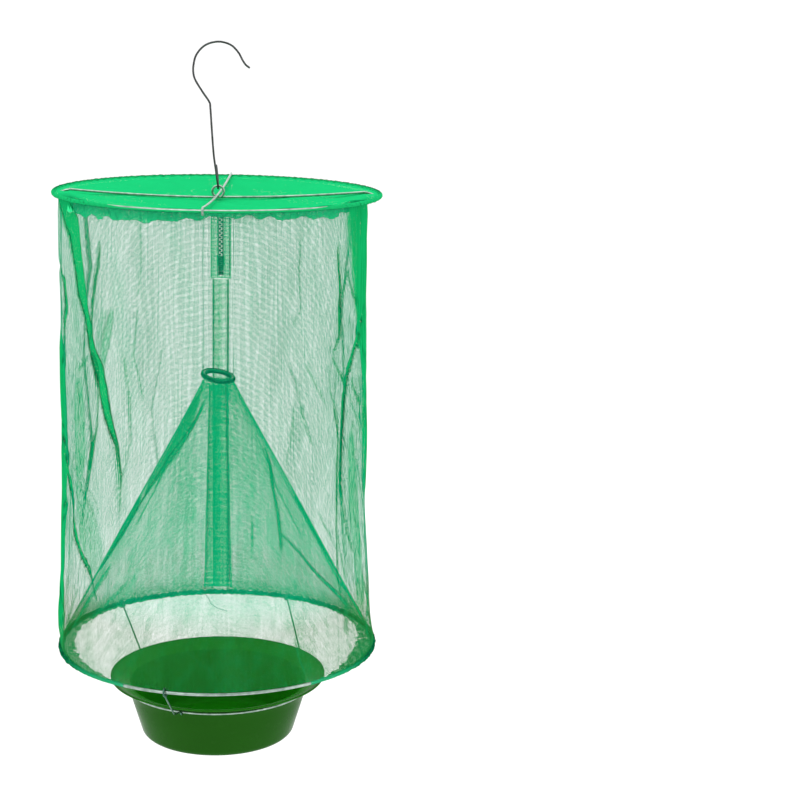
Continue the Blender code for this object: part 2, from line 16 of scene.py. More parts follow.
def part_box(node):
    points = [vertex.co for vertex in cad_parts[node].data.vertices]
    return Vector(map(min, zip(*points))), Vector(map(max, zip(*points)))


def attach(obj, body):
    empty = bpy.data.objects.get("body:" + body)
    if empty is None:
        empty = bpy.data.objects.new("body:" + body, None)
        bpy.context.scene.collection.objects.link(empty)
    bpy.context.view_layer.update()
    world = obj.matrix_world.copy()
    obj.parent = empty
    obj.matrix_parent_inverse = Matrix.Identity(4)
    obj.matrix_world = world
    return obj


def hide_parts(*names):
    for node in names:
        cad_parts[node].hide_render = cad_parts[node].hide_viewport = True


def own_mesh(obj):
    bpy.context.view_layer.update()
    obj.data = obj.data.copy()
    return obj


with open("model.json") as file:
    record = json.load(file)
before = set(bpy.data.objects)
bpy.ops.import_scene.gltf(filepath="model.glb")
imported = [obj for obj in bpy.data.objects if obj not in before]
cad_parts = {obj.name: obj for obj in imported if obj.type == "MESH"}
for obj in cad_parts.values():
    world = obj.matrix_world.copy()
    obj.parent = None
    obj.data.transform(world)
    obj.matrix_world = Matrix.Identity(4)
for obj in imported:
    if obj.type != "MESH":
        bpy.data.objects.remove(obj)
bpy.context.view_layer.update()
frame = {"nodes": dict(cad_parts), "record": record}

MM = 0.001
TURN = 2 * math.pi
UP = Vector((0, 0, 1))
BODY = {
    node: body for body, nodes in frame["record"]["behaviour"]["bodies"].items() for node in nodes
}
random = np.random.default_rng(12)


# Sizes and levels, read from the frame


def middle(node):
    low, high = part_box(node)
    return (low + high) / 2


def half_wide(node):
    low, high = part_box(node)
    return (high.x - low.x) / 2


def low_and_high(node):
    return [corner.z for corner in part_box(node)]


GAP = 0.3 * MM
HOOP_WIRE_R = 1.0 * MM
HOOP_R = half_wide("top_rim_hoop") - HOOP_WIRE_R
RIM_Z = middle("top_rim_hoop").z
BASE_Z = middle("bottom_hoop").z
NET_TURN = TURN * 106 * MM  # the wall's way round, which its creases' degrees are read on
WALL_LOW_Z, WALL_TOP_Z = low_and_high("side_wall_net")
WALL_EDGE_Z = BASE_Z + HOOP_WIRE_R + 0.9 * MM
ZIP_FOOT_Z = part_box("back_seam_band")[1].z + GAP
ZIP_X = middle("zip_slider").x
SLOT_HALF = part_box("zip_tape_right")[1].x - ZIP_X + GAP
UNDER_STRIP = 5 * MM  # the wall is open this far each side of the seam, behind its strip
SEAM_ANGLE = math.pi / 2 - ZIP_X / HOOP_R
FUNNEL_LOW_Z, FUNNEL_TOP_Z = low_and_high("funnel_net")
FUNNEL_FOOT_R = 109.2 * MM
FUNNEL_TOP_R = 11.1 * MM
TIP_R = 10.2 * MM
TIP_WIRE_R = 1.2 * MM
TIP_TILT = math.radians(10)
TIP_LEAN = math.radians(8)
TIP_Z = middle("funnel_tip_ring").z
CONE_TOP_Z = TIP_Z - 3.0 * MM
BOWL_BASE_Z, BOWL_RIM_Z = low_and_high("bait_bowl")
BOWL_R = half_wide("bait_bowl")
BOWL_HOOP_WIRE_R = 0.9 * MM
BOWL_HOOP_R = half_wide("bowl_hoop") - BOWL_HOOP_WIRE_R
BOWL_HOOP_Z = middle("bowl_hoop").z


# Materials


class Graph:
    """Short names for building one material's nodes."""

    def __init__(self, name, color, roughness, metallic=0.0, **settings):
        self.material = bpy.data.materials.new(name)
        self.material.use_nodes = True
        self.nodes = self.material.node_tree.nodes
        self.shader = self.nodes["Principled BSDF"]
        settings.update(Base_Color=(*color, 1.0), Roughness=roughness, Metallic=metallic)
        for setting, value in settings.items():
            self.shader.inputs[setting.replace("_", " ")].default_value = value

    def join(self, output, target):
        self.material.node_tree.links.new(output, target)

    def drive(self, socket, output):
        self.join(output, self.shader.inputs[socket])

    def node(self, kind, inputs=(), **settings):
        made = self.nodes.new("ShaderNode" + kind)
        for setting, value in settings.items():
            setattr(made, setting, value)
        for socket, value in dict(inputs).items():
            if isinstance(value, bpy.types.NodeSocket):
                self.join(value, made.inputs[socket])
            else:
                made.inputs[socket].default_value = value
        return made

    def math(self, operation, first, second=0.0, third=0.0, **settings):
        inputs = {0: first, 1: second, 2: third}
        return self.node("Math", inputs, operation=operation, **settings).outputs[0]

    def weave(self):
        """The place on the flat sheet."""
        return self.node("UVMap", uv_map="weave").outputs["UV"]

    def noise(self, scale, detail=2.0, stretch=(1, 1, 1), of_weave=False):
        """Noise over the object's own coordinates, or over a sheet's; scale is per metre."""
        place = self.weave() if of_weave else self.node("TexCoord").outputs["Object"]
        mapped = self.node("Mapping", {"Vector": place, "Scale": stretch}).outputs[0]
        inputs = {"Vector": mapped, "Scale": scale, "Detail": detail}
        return self.node("TexNoise", inputs).outputs["Fac"]

    def spread(self, value, low, high):
        """value from 0..1 to low..high."""
        return self.node("MapRange", {"Value": value, "To Min": low, "To Max": high}).outputs[0]

    def between(self, value, start, end, smooth=False):
        """0 to 1 as value goes from start to end."""
        inputs = {"Value": value, "From Min": start, "From Max": end}
        kind = "SMOOTHSTEP" if smooth else "LINEAR"
        return self.node("MapRange", inputs, interpolation_type=kind).outputs[0]

    def two_colors(self, share, *ends):
        """The first end where share is 0, the second where it is 1; each a colour or an output."""
        first, second = (
            end if isinstance(end, bpy.types.NodeSocket) else (*end, 1.0) for end in ends
        )
        return self.node("Mix", {0: share, 6: first, 7: second}, data_type="RGBA").outputs[2]

    def bump(self, height, distance, strength):
        inputs = {"Height": height, "Distance": distance, "Strength": strength}
        self.drive("Normal", self.node("Bump", inputs).outputs[0])


def net_material(name, color, folded, shade_color, pitch, thread, most=0.9, low_edge=None):
    """Fine square net. pitch is from thread to thread, and thread the share of it that one fills.
    Where the sheet's gather is 1 the threads close up to the share most, in the folded colour,
    and where its shade is 1 they take the third colour, a painted shade. low_edge is a colour that
    the net turns to, with the two places down the sheet that it does so between."""
    graph = Graph(name, color, 0.8, Specular_IOR_Level=0.0)
    split = graph.node("SeparateXYZ", {0: graph.weave()})
    gather, shade_share = (
        graph.node("Attribute", attribute_name=field).outputs["Fac"] for field in ("gather", "shade")
    )
    uneven = graph.spread(graph.noise(800, 1.0, of_weave=True), 0.5, 1.5)
    wobble = graph.spread(graph.noise(170, 2.0, of_weave=True), -0.22, 0.22)
    even_half = graph.math("MULTIPLY_ADD", gather, (most - thread) / 2, thread / 2)
    half = graph.math("MULTIPLY", even_half, uneven)
    soft_edge = 0.03
    inside = graph.math("SUBTRACT", half, soft_edge)
    outside = graph.math("ADD", half, soft_edge)
    distances = []
    for axis in ("X", "Y"):
        turns = graph.math("MULTIPLY_ADD", split.outputs[axis], 1 / pitch, wobble)
        distances.append(graph.math("PINGPONG", turns, 0.5))
    openings = [graph.between(away, inside, outside, smooth=True) for away in distances]
    graph.drive("Alpha", graph.math("SUBTRACT", 1.0, graph.math("MULTIPLY", *openings)))
    # low_edge: the net darkens towards its lower edge, a painted shade
    if low_edge:
        low_color, start, end = low_edge
        color = graph.two_colors(graph.between(split.outputs["Y"], start, end), color, low_color)
    blotch = graph.spread(graph.noise(60, 3.0, of_weave=True), -0.18, 0.18)
    share = graph.math("ADD", gather, blotch, use_clamp=True)
    # painted shade: the thread takes the third colour where the sheet's shade attribute is 1
    graph.drive("Base Color", graph.two_colors(shade_share, graph.two_colors(share, color, folded), shade_color))
    across = graph.math("MINIMUM", *distances)
    graph.bump(graph.math("MULTIPLY", across, -1.0), 0.25 * pitch, 0.6)
    return graph.material


def wire_material(name, bright, dull, roughness):
    """Drawn wire: dull patches of oxide and a little grime, and a fine bump."""
    graph = Graph(name, bright, roughness, metallic=1.0)
    patches = graph.noise(260, 4.0)
    graph.drive("Base Color", graph.two_colors(graph.spread(patches, -0.3, 1.2), bright, dull))
    graph.drive("Roughness", graph.spread(patches, roughness - 0.08, roughness + 0.15))
    graph.bump(graph.noise(2600, 2.0), 0.02 * MM, 0.5)
    return graph.material


def thread_material(name, color, dark):
    graph = Graph(name, color, 0.75, Sheen_Weight=0.2, Specular_IOR_Level=0.2)
    split = graph.node("SeparateXYZ", {0: graph.weave()})
    slanted = graph.math("MULTIPLY_ADD", split.outputs["Y"], 0.6, split.outputs["X"])
    ply_length = 0.8 * MM
    twist = graph.math("SINE", graph.math("MULTIPLY", slanted, TURN / ply_length))
    # painted shade and highlight: darker in the grooves of the twist, lighter on its crests
    graph.drive("Base Color", graph.two_colors(graph.spread(twist, 0.3, 0.9), dark, color))
    graph.bump(twist, 0.05 * MM, 0.6)
    return graph.material


def bowl_material(name, shades):
    """Moulded plastic with flow marks and small scuffs."""
    graph = Graph(name, shades[1], 0.3, Specular_IOR_Level=0.03)
    flow = graph.noise(9, 4.0, stretch=(1, 1, 2.2))
    graph.drive("Base Color", graph.two_colors(graph.spread(flow, -0.2, 1.1), *shades))
    graph.drive("Roughness", graph.spread(graph.noise(90, 5.0), 0.16, 0.34))
    graph.bump(graph.noise(35, 3.0), 0.25 * MM, 0.25)
    return graph.material


def moulded_material(name, color, dark, roughness):
    graph = Graph(name, color, roughness, Specular_IOR_Level=0.1)
    grain = graph.noise(1500, 3.0)
    graph.drive("Base Color", graph.two_colors(grain, dark, color))
    graph.bump(grain, 0.04 * MM, 0.5)
    return graph.material


def lacquer_material():
    """Green lacquer on pressed metal, worn bright in small places."""
    graph = Graph("zip_green_lacquer", (0.02, 0.11, 0.07), 0.4, Specular_IOR_Level=0.3)
    worn = graph.noise(900, 4.0)
    bared = graph.between(worn, 0.58, 0.7)
    graph.drive("Base Color", graph.two_colors(bared, (0.008, 0.07, 0.04), (0.10, 0.17, 0.13)))
    graph.bump(worn, 0.03 * MM, 0.4)
    return graph.material


WIDE_MESH = 0.8 * MM
FINE_MESH = 0.7 * MM
# The third colour of each net is painted shade, for its folds, creases and undersides. The wall's low_edge
# darkens it towards the lower hoop: painted shade.
WALL_NET = net_material(
    "wall_net", (0.010, 0.39, 0.20), (0.006, 0.44, 0.13), (0.002, 0.13, 0.045), WIDE_MESH, 0.135,
    low_edge=((0.030, 0.21, 0.04), 0.258, 0.280),
)
# The funnel's net is a lit copy of the wall's net, brighter to make up for the shade it hangs in inside the
# wall: painted light. Its low_edge darkens it towards the foot: painted shade.
LIT_FUNNEL_NET = net_material(
    "funnel_lit_net_weave", (0.010, 0.72, 0.33), (0.006, 0.60, 0.20), (0.002, 0.18, 0.065),
    WIDE_MESH, 0.13, low_edge=((0.006, 0.26, 0.05), 0.055, 0.035),
)
COVER_NET = net_material(
    "cover_net", (0.010, 0.50, 0.160), (0.009, 0.43, 0.135), (0.002, 0.14, 0.05), FINE_MESH, 0.80, 1.1
)
# The top hem's net is a lit copy of the hem net, brighter to make up for the shadow under the cover: painted
# light.
LIT_TOP_HEM_NET = net_material(
    "top_hem_lit_net", (0.045, 0.90, 0.36), (0.045, 0.90, 0.34), (0.004, 0.26, 0.10), FINE_MESH, 0.62, 1.1
)
LOW_HEM_NET = net_material(
    "low_hem_net", (0.016, 0.50, 0.20), (0.008, 0.36, 0.12), (0.001, 0.065, 0.025),
    FINE_MESH, 0.50, 1.1,
)
RIM_BINDING = net_material(
    "rim_binding", (0.010, 0.46, 0.14), (0.010, 0.46, 0.14), (0.002, 0.08, 0.035),
    FINE_MESH, 0.95, 1.1,
)
SEAM_NET = net_material(
    "seam_net", (0.009, 0.72, 0.28), (0.006, 0.60, 0.20), (0.003, 0.20, 0.07), WIDE_MESH, 0.33
)
ZIP_TAPE = net_material(
    "zip_tape_weave", (0.010, 0.80, 0.34), (0.008, 0.66, 0.26), (0.003, 0.20, 0.07), FINE_MESH, 0.38
)
STITCHES = thread_material("stitch_thread", (0.004, 0.15, 0.06), (0.002, 0.06, 0.028))
# A thread for the top hem's lower edge, pale as a painted highlight.
EDGE_HIGHLIGHT_THREAD = thread_material("edge_highlight_thread", (0.22, 0.62, 0.42), (0.05, 0.40, 0.20))
TIE_THREAD = thread_material("tie_thread", (0.30, 0.66, 0.50), (0.12, 0.45, 0.28))
HOOK_WIRE = wire_material("hook_steel", (0.11, 0.115, 0.115), (0.03, 0.032, 0.032), 0.30)
BAR_WIRE = wire_material("bar_steel", (0.45, 0.55, 0.49), (0.10, 0.20, 0.15), 0.28)
HANGER_WIRE = wire_material("hanger_steel", (0.10, 0.24, 0.17), (0.02, 0.08, 0.05), 0.35)
HOOP_WIRE = wire_material("hoop_steel", (0.50, 0.60, 0.55), (0.14, 0.22, 0.18), 0.30)
BOWL_PLASTIC = bowl_material("bowl_green_plastic", ((0.012, 0.080, 0.005), (0.018, 0.125, 0.008)))
# The lip and the inside are lighter, lit copies of the bowl's plastic: painted light.
BOWL_LIP_LIT = bowl_material("bowl_lip_lit_plastic", ((0.013, 0.125, 0.006), (0.019, 0.180, 0.009)))
BOWL_INSIDE_LIT = bowl_material("bowl_inside_lit_plastic", ((0.014, 0.210, 0.006), (0.020, 0.300, 0.009)))
ZIP_TEETH = moulded_material("zip_teeth_plastic", (0.02, 0.24, 0.12), (0.01, 0.12, 0.06), 0.45)
ZIP_SLIDER = moulded_material("zip_slider_plastic", (0.10, 0.66, 0.38), (0.04, 0.48, 0.24), 0.5)
ZIP_LACQUER = lacquer_material()


# Building blocks


def join_body(piece, body):
    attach(piece, body)
    return piece


def stand_for(piece, node):
    """piece rides its node's body and is shown in its place."""
    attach(piece, BODY[node])
    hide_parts(node)
    return piece


def placed(name, data):
    made = bpy.data.objects.new(name, data)
    bpy.context.scene.collection.objects.link(made)
    return made


def woven_mesh(name, vertices, faces, weave, look):
    """A smooth mesh; weave is each vertex's place on the flat sheet in metres."""
    mesh = bpy.data.meshes.new(name)
    mesh.from_pydata(vertices.tolist(), [], faces)
    loops = np.zeros(len(mesh.loops), np.int64)
    mesh.loops.foreach_get("vertex_index", loops)
    layer = mesh.uv_layers.new(name="weave")
    layer.data.foreach_set("uv", weave.astype(np.float32)[loops].ravel())
    mesh.materials.append(look)
    mesh.shade_smooth()
    return mesh


def sheet_object(name, points, weave, look, gather=0.0, shade=0.0, kept=None):
    """A grid of points, (rows, columns, 3), as one sheet. gather says how bunched it is at each of
    them, shade how much painted shade they get, and kept which of the grid's cells stay."""
    rows, columns = points.shape[:2]
    index = np.arange(rows * columns).reshape(rows, columns)
    cells = np.stack((index[:-1, :-1], index[:-1, 1:], index[1:, 1:], index[1:, :-1]), axis=-1)
    cells = cells.reshape(-1, 4) if kept is None else cells[kept]
    used, faces = np.unique(cells, return_inverse=True)
    faces = faces.reshape(-1, 4).tolist()
    mesh = woven_mesh(name, points.reshape(-1, 3)[used], faces, weave.reshape(-1, 2)[used], look)
    for field, values in (("gather", gather), ("shade", shade)):
        flat = np.broadcast_to(values, (rows, columns)).ravel()[used]
        stored = mesh.attributes.new(field, "FLOAT", "POINT")
        stored.data.foreach_set("value", np.clip(flat, 0, 1).astype(np.float32))
    return placed(name, mesh)


def stacked(*values):
    return np.stack(np.broadcast_arrays(*values), axis=-1)


def around_axis(radius, angle, z):
    return stacked(radius * np.cos(angle), radius * np.sin(angle), z)


def outward(angle):
    return Vector((math.cos(angle), math.sin(angle), 0))


def wrapped(angle):
    """The same angle, within half a turn of zero."""
    return (angle + math.pi) % TURN - math.pi


def bell(distance, width, power=2):
    return np.exp(-((distance / width) ** power))


def smooth_step(value, low, high):
    share = np.clip((value - low) / (high - low), 0, 1)
    return share * share * (3 - 2 * share)


def smooth_noise(along, down, size_along, size_down, waves=7):
    """Smooth uneven heights from about -1 to 1, a sum of slanted waves of about those sizes."""
    total = np.zeros(np.broadcast(along, down).shape)
    for _ in range(waves):
        lean, stretch, start = random.uniform(-1, 1), random.uniform(0.6, 1.5), random.uniform(0, 7)
        phase = along / size_along + lean * down / size_down
        total += np.sin(TURN / stretch * phase + start)
    return total / math.sqrt(waves) / 1.4


def line_noise(along, size):
    """Smooth noise along one direction only."""
    return smooth_noise(along, 0 * along, size, 1)


def patches(along, down, size_along, size_down):
    """The upper parts of smooth noise, with flat nothing between them."""
    return np.clip(smooth_noise(along, down, size_along, size_down), 0, 1)


def fine_pleats(along, down, length, wander):
    """Close upright pleats a length apart, which drift sideways by about a pleat and fade."""
    drift = wander * smooth_noise(along, down, 60 * MM, 90 * MM)
    strength = 0.6 + 0.4 * smooth_noise(along, down, 25 * MM, 40 * MM)
    return strength * np.sin(TURN * (along + drift) / length)


def crease_fields(around, down, creases):
    """Pinch depth, gather and painted shade, all arrays, of creases given as (strength, pinch, points),
    each point (degrees, millimetres down or up, half width in millimetres). A wide fold gets painted
    shade along its two edges, where the net turns over, and a narrow one down its middle."""
    pinch_depth, gather, shade = (np.zeros(around.shape) for _ in range(3))
    for strength, pinch, points in creases:
        degrees, levels, half_widths = np.array(points, float).T
        path_s = degrees / 360 * NET_TURN
        path_d = levels * MM
        centre = path_s.mean()
        s = (around - centre + NET_TURN / 2) % NET_TURN - NET_TURN / 2 + centre
        near = np.full(around.shape, np.inf)
        place = np.zeros(around.shape)
        steps = len(points) - 1
        for i in range(steps):
            run_s, run_d = path_s[i + 1] - path_s[i], path_d[i + 1] - path_d[i]
            share = ((s - path_s[i]) * run_s + (down - path_d[i]) * run_d) / (run_s**2 + run_d**2)
            share = np.clip(share, 0, 1)
            away = np.hypot(s - path_s[i] - share * run_s, down - path_d[i] - share * run_d)
            closer = away < near
            near = np.where(closer, away, near)
            place = np.where(closer, (i + share) / steps, place)
        width = np.interp(place, np.linspace(0, 1, steps + 1), half_widths) * MM
        fade = np.clip(np.minimum(place, 1 - place) / 0.08 + 0.05, 0, 1)
        wide = smooth_step(width, 0.9 * MM, 2.2 * MM)
        core = 0.75 * (1 - wide) * bell(near, 0.85 * width) + wide * bell(near, width, 8)
        edges = 1.15 * wide * bell(near - 0.82 * width, 0.85 * MM)
        edges += 0.9 * (1 - wide) * bell(near, 0.5 * width)
        pinch_depth += pinch * MM * fade * bell(near, width + 0.8 * MM)
        gather = np.maximum(gather, strength * fade * core)
        shade = np.maximum(shade, strength * fade * edges)
    return pinch_depth, gather, shade


def slope_gather(radial, step_around, step_down):
    """How much more net lies behind each bit of the outline where the sheet is steep."""
    rise_down, rise_around = np.gradient(radial, step_down, step_around)
    return np.sqrt(1 + rise_around**2 + rise_down**2) - 1


ROUND_END = ((0.0, 1.0), (0.5, 0.85), (0.9, 0.45))  # (radii past the end, share of the radius)


def tube(name, route, radius, look, sides=12, closed=False, squeeze=1.0):
    """A round wire or thread along the route, with rounded ends unless it is closed."""
    points = np.array([tuple(p) for p in route], float)
    ahead = np.roll(points, -1, axis=0) - np.roll(points, 1, axis=0)
    if not closed:
        ahead[0], ahead[-1] = points[1] - points[0], points[-1] - points[-2]
    ahead /= np.linalg.norm(ahead, axis=1)[:, None]
    side = np.cross(ahead[0], (0.0, 0.0, 1.0))
    if np.linalg.norm(side) < 1e-3:
        side = np.cross(ahead[0], (0.0, 1.0, 0.0))
    radii = np.broadcast_to(radius * squeeze, len(points))
    turns = np.linspace(0, TURN, sides, endpoint=False)
    run = np.concatenate(([0], np.cumsum(np.linalg.norm(np.diff(points, axis=0), axis=1))))
    rings = []
    lengths = []
    for i, point in enumerate(points):
        side = side - ahead[i] * np.dot(side, ahead[i])
        side /= np.linalg.norm(side)
        other = np.cross(ahead[i], side)
        circle = np.cos(turns)[:, None] * side + np.sin(turns)[:, None] * other
        sections = [(0.0, 1.0)]
        if not closed and i == 0:
            sections = [(-out, share) for out, share in reversed(ROUND_END)]
        elif not closed and i == len(points) - 1:
            sections = ROUND_END
        for out, share in sections:
            rings.append(point + ahead[i] * out * radius + circle * radii[i] * share)
            lengths.append(run[i] + out * radius)
    index = np.arange(len(rings) * sides).reshape(-1, sides)
    first, after = (index, np.roll(index, -1, axis=0)) if closed else (index[:-1], index[1:])
    corners = (first, np.roll(first, -1, axis=1), np.roll(after, -1, axis=1), after)
    faces = np.stack(corners, axis=-1).reshape(-1, 4).tolist()
    if not closed:
        faces += [index[0][::-1].tolist(), index[-1].tolist()]
    weave = stacked(np.array(lengths)[:, None], turns * radius).reshape(-1, 2)
    return placed(name, woven_mesh(name, np.array(rings).reshape(-1, 3), faces, weave, look))


def ring_route(radius, z, steps=180):
    return around_axis(radius, np.linspace(0, TURN, steps, endpoint=False), z)


def smooth_route(points, step):
    """Points about step apart on a Catmull-Rom curve through the given ones."""
    points = [Vector(p) for p in points]
    ends = [2 * points[0] - points[1]] + points + [2 * points[-1] - points[-2]]
    route = []
    for a, b, c, d in zip(ends, ends[1:], ends[2:], ends[3:]):
        count = max(1, round((c - b).length / step))
        for k in range(count):
            t = k / count
            linear = (c - a) * t
            curved = (2 * a - 5 * b + 4 * c - d) * t * t + (3 * b - 3 * c + d - a) * t**3
            route.append(0.5 * (2 * b + linear + curved))
    return route + [points[-1]]


def joined(name, parts):
    """Several meshes as one object; the parts' own objects go."""
    bm = bmesh.new()
    look = parts[0].data.materials[0]
    for part in parts:
        bm.from_mesh(part.data)
        bpy.data.meshes.remove(part.data)
    mesh = bpy.data.meshes.new(name)
    bm.to_mesh(mesh)
    bm.free()
    mesh.materials.append(look)
    return placed(name, mesh)


def stitch_line(name, low, high, place, stitch, gap, radius):
    """A running stitch from the level high down to low: each stitch dips into the cloth at both
    ends. place gives the point at a level and the way out of the cloth there."""
    parts = []
    length = 0.0
    while high - (length + stitch) >= low:
        (a, out_a), (b, out_b), (c, out_c) = (
            place(high - (length + stitch * share)) for share in (0, 0.5, 1)
        )
        bent = [a - out_a * radius, b + out_b * radius * 0.6, c - out_c * radius]
        parts.append(tube(name, smooth_route(bent, stitch / 4), radius, STITCHES, sides=6))
        length += stitch + gap
    return joined(name, parts)


# The hook and the crossed wires

BAR_WIRE_R = 0.8 * MM
HOOK_WIRE_R = 0.7 * MM
BAR_OVER_HOOP = HOOP_WIRE_R + GAP + BAR_WIRE_R
EYE_BAR_SAG = 5.4 * MM
EYE_R = 3.85 * MM
EYE_LOW_Z = RIM_Z + BAR_OVER_HOOP - EYE_BAR_SAG
EYE_TOP_Z = EYE_LOW_Z + 2 * EYE_R
PLAIN_BAR_SAG = EYE_BAR_SAG - 2 * BAR_WIRE_R - GAP
PLAIN_BAR_TURN = math.radians(5)
FOLD_R = BAR_WIRE_R + GAP + HOOK_WIRE_R
BAR_TAIL = math.radians(-80)


def hanging_hook():
    """The crown and the shank lie across the trap; the fold below goes front to back."""
    crown = [
        (20.7, 83.7), (18.4, 85.4), (16.2, 88.6), (13.4, 93.6), (8.2, 98.5), (0, 100.4),
        (-8.6, 97.9), (-14.4, 91.6), (-16.4, 84.4), (-16.4, 79.0), (-14.9, 74.4), (-10.4, 67.2),
        (-5.9, 60.6), (-5.2, 57.0),
    ]
    shank = [(-4.2, 0, 42), (-3.0, -0.3, 26), (-1.4, -1.4, 14)]
    tail = [(-0.4, 1.8, 11), (-1.2, 1.6, 18)]

    def over_rim(points):
        return [Vector((x * MM, y * MM, RIM_Z + z * MM)) for x, y, z in points]

    route = smooth_route(over_rim([(x, 0, z) for x, z in crown] + shank), 1.6 * MM)
    for step in range(17):
        turn = math.pi + math.pi * step / 16
        route.append(Vector((0, FOLD_R * math.cos(turn), EYE_TOP_Z + FOLD_R * math.sin(turn))))
    route += over_rim(tail)
    stand_for(tube("hook_wire", route, HOOK_WIRE_R, HOOK_WIRE), "hanging_hook")


def bar_end(direction, bend_from, bend_to):
    """A bar's end bent down round the outside of the top hoop."""
    places = []
    for step in range(13):
        turn = bend_from + (bend_to - bend_from) * step / 12
        out = HOOP_R + BAR_OVER_HOOP * math.cos(turn)
        places.append(direction * out + UP * (RIM_Z + BAR_OVER_HOOP * math.sin(turn)))
    return places


def bar_height(share, sag):
    return RIM_Z + BAR_OVER_HOOP - sag * (1 - share * share)


def eye_bar_height(share):
    under_cloth = 2.6 * MM * float(smooth_step(share, 0.90, 0.975))
    return bar_height(share, EYE_BAR_SAG) - under_cloth


def eye_crossbar():
    """Its ends go under the cloth that binds the rim."""
    shift = BAR_WIRE_R + GAP / 2
    shares = [0.975, 0.965, 0.95, 0.93] + [0.90 - 0.05 * k for k in range(17)]
    arms = {}
    for side in (-1, 1):
        arms[side] = []
        for share in shares:
            sideways = side * shift * max(0.0, 1 - share / 0.36)
            arms[side].append(Vector((side * HOOP_R * share, sideways, eye_bar_height(share))))
    eye = []
    steps = 32
    for step in range(steps + 1):
        turn = -math.pi / 2 + TURN * step / steps
        height = EYE_LOW_Z + EYE_R + EYE_R * math.sin(turn)
        eye.append(Vector((EYE_R * math.cos(turn), shift * (2 * step / steps - 1), height)))
    route = arms[-1] + eye + arms[1][::-1]
    stand_for(tube("eye_bar_wire", route, BAR_WIRE_R, BAR_WIRE), "eye_crossbar")


def plain_crossbar():
    back = outward(math.pi / 2 - PLAIN_BAR_TURN)
    route = bar_end(-back, BAR_TAIL, math.pi / 2)
    for step in range(25):
        share = -0.94 + 1.88 * step / 24
        route.append(back * (HOOP_R * share) + UP * bar_height(share, PLAIN_BAR_SAG))
    route += bar_end(back, math.pi / 2, BAR_TAIL)
    stand_for(tube("plain_bar_wire", route, BAR_WIRE_R, BAR_WIRE), "plain_crossbar")


def hoops():
    for name, node, radius, z, wire_r in (
        ("top_rim_wire", "top_rim_hoop", HOOP_R, RIM_Z, HOOP_WIRE_R),
        ("bottom_hoop_wire", "bottom_hoop", HOOP_R, BASE_Z, HOOP_WIRE_R),
        ("bowl_hoop_wire", "bowl_hoop", BOWL_HOOP_R, BOWL_HOOP_Z, BOWL_HOOP_WIRE_R),
    ):
        made = tube(name, ring_route(radius, z), wire_r, HOOP_WIRE, closed=True)
        stand_for(made, node)


# The nets: creases are (strength, pinch, points), as crease_fields says

BROAD_GATHERS = [
    (0.95, 0.0, [(-20, -40, 29), (-20, 8, 29), (-18, 36, 26), (-16.5, 52, 24.6), (-14, 68, 24),
                 (-12, 90, 20), (-8, 112, 12), (-5, 130, 7)]),
    (0.90, 0.0, [(-176, 90, 6), (-173, 122, 12), (-172, 160, 12), (-172, 190, 10), (-173, 225, 12),
                 (-173, 262, 10), (-172, 316, 8)]),
    (0.60, 0.0, [(-5, 110, 8), (-6, 150, 8), (-5, 180, 5), (-6, 214, 2)]),
    (0.26, 0.0, [(-152, 186, 5), (-147, 206, 11), (-142, 228, 13), (-138, 248, 8)]),
    (0.35, 0.0, [(-30, 150, 5), (-28, 190, 8), (-24, 240, 10), (-22, 290, 8)]),
    (0.30, 0.0, [(-150, 116, 4), (-150, 140, 8), (-149, 168, 8), (-152, 190, 4)]),
    (0.18, 0.0, [(-133, 66, 2), (-134, 82, 4), (-136, 98, 4), (-137, 112, 3)]),
]
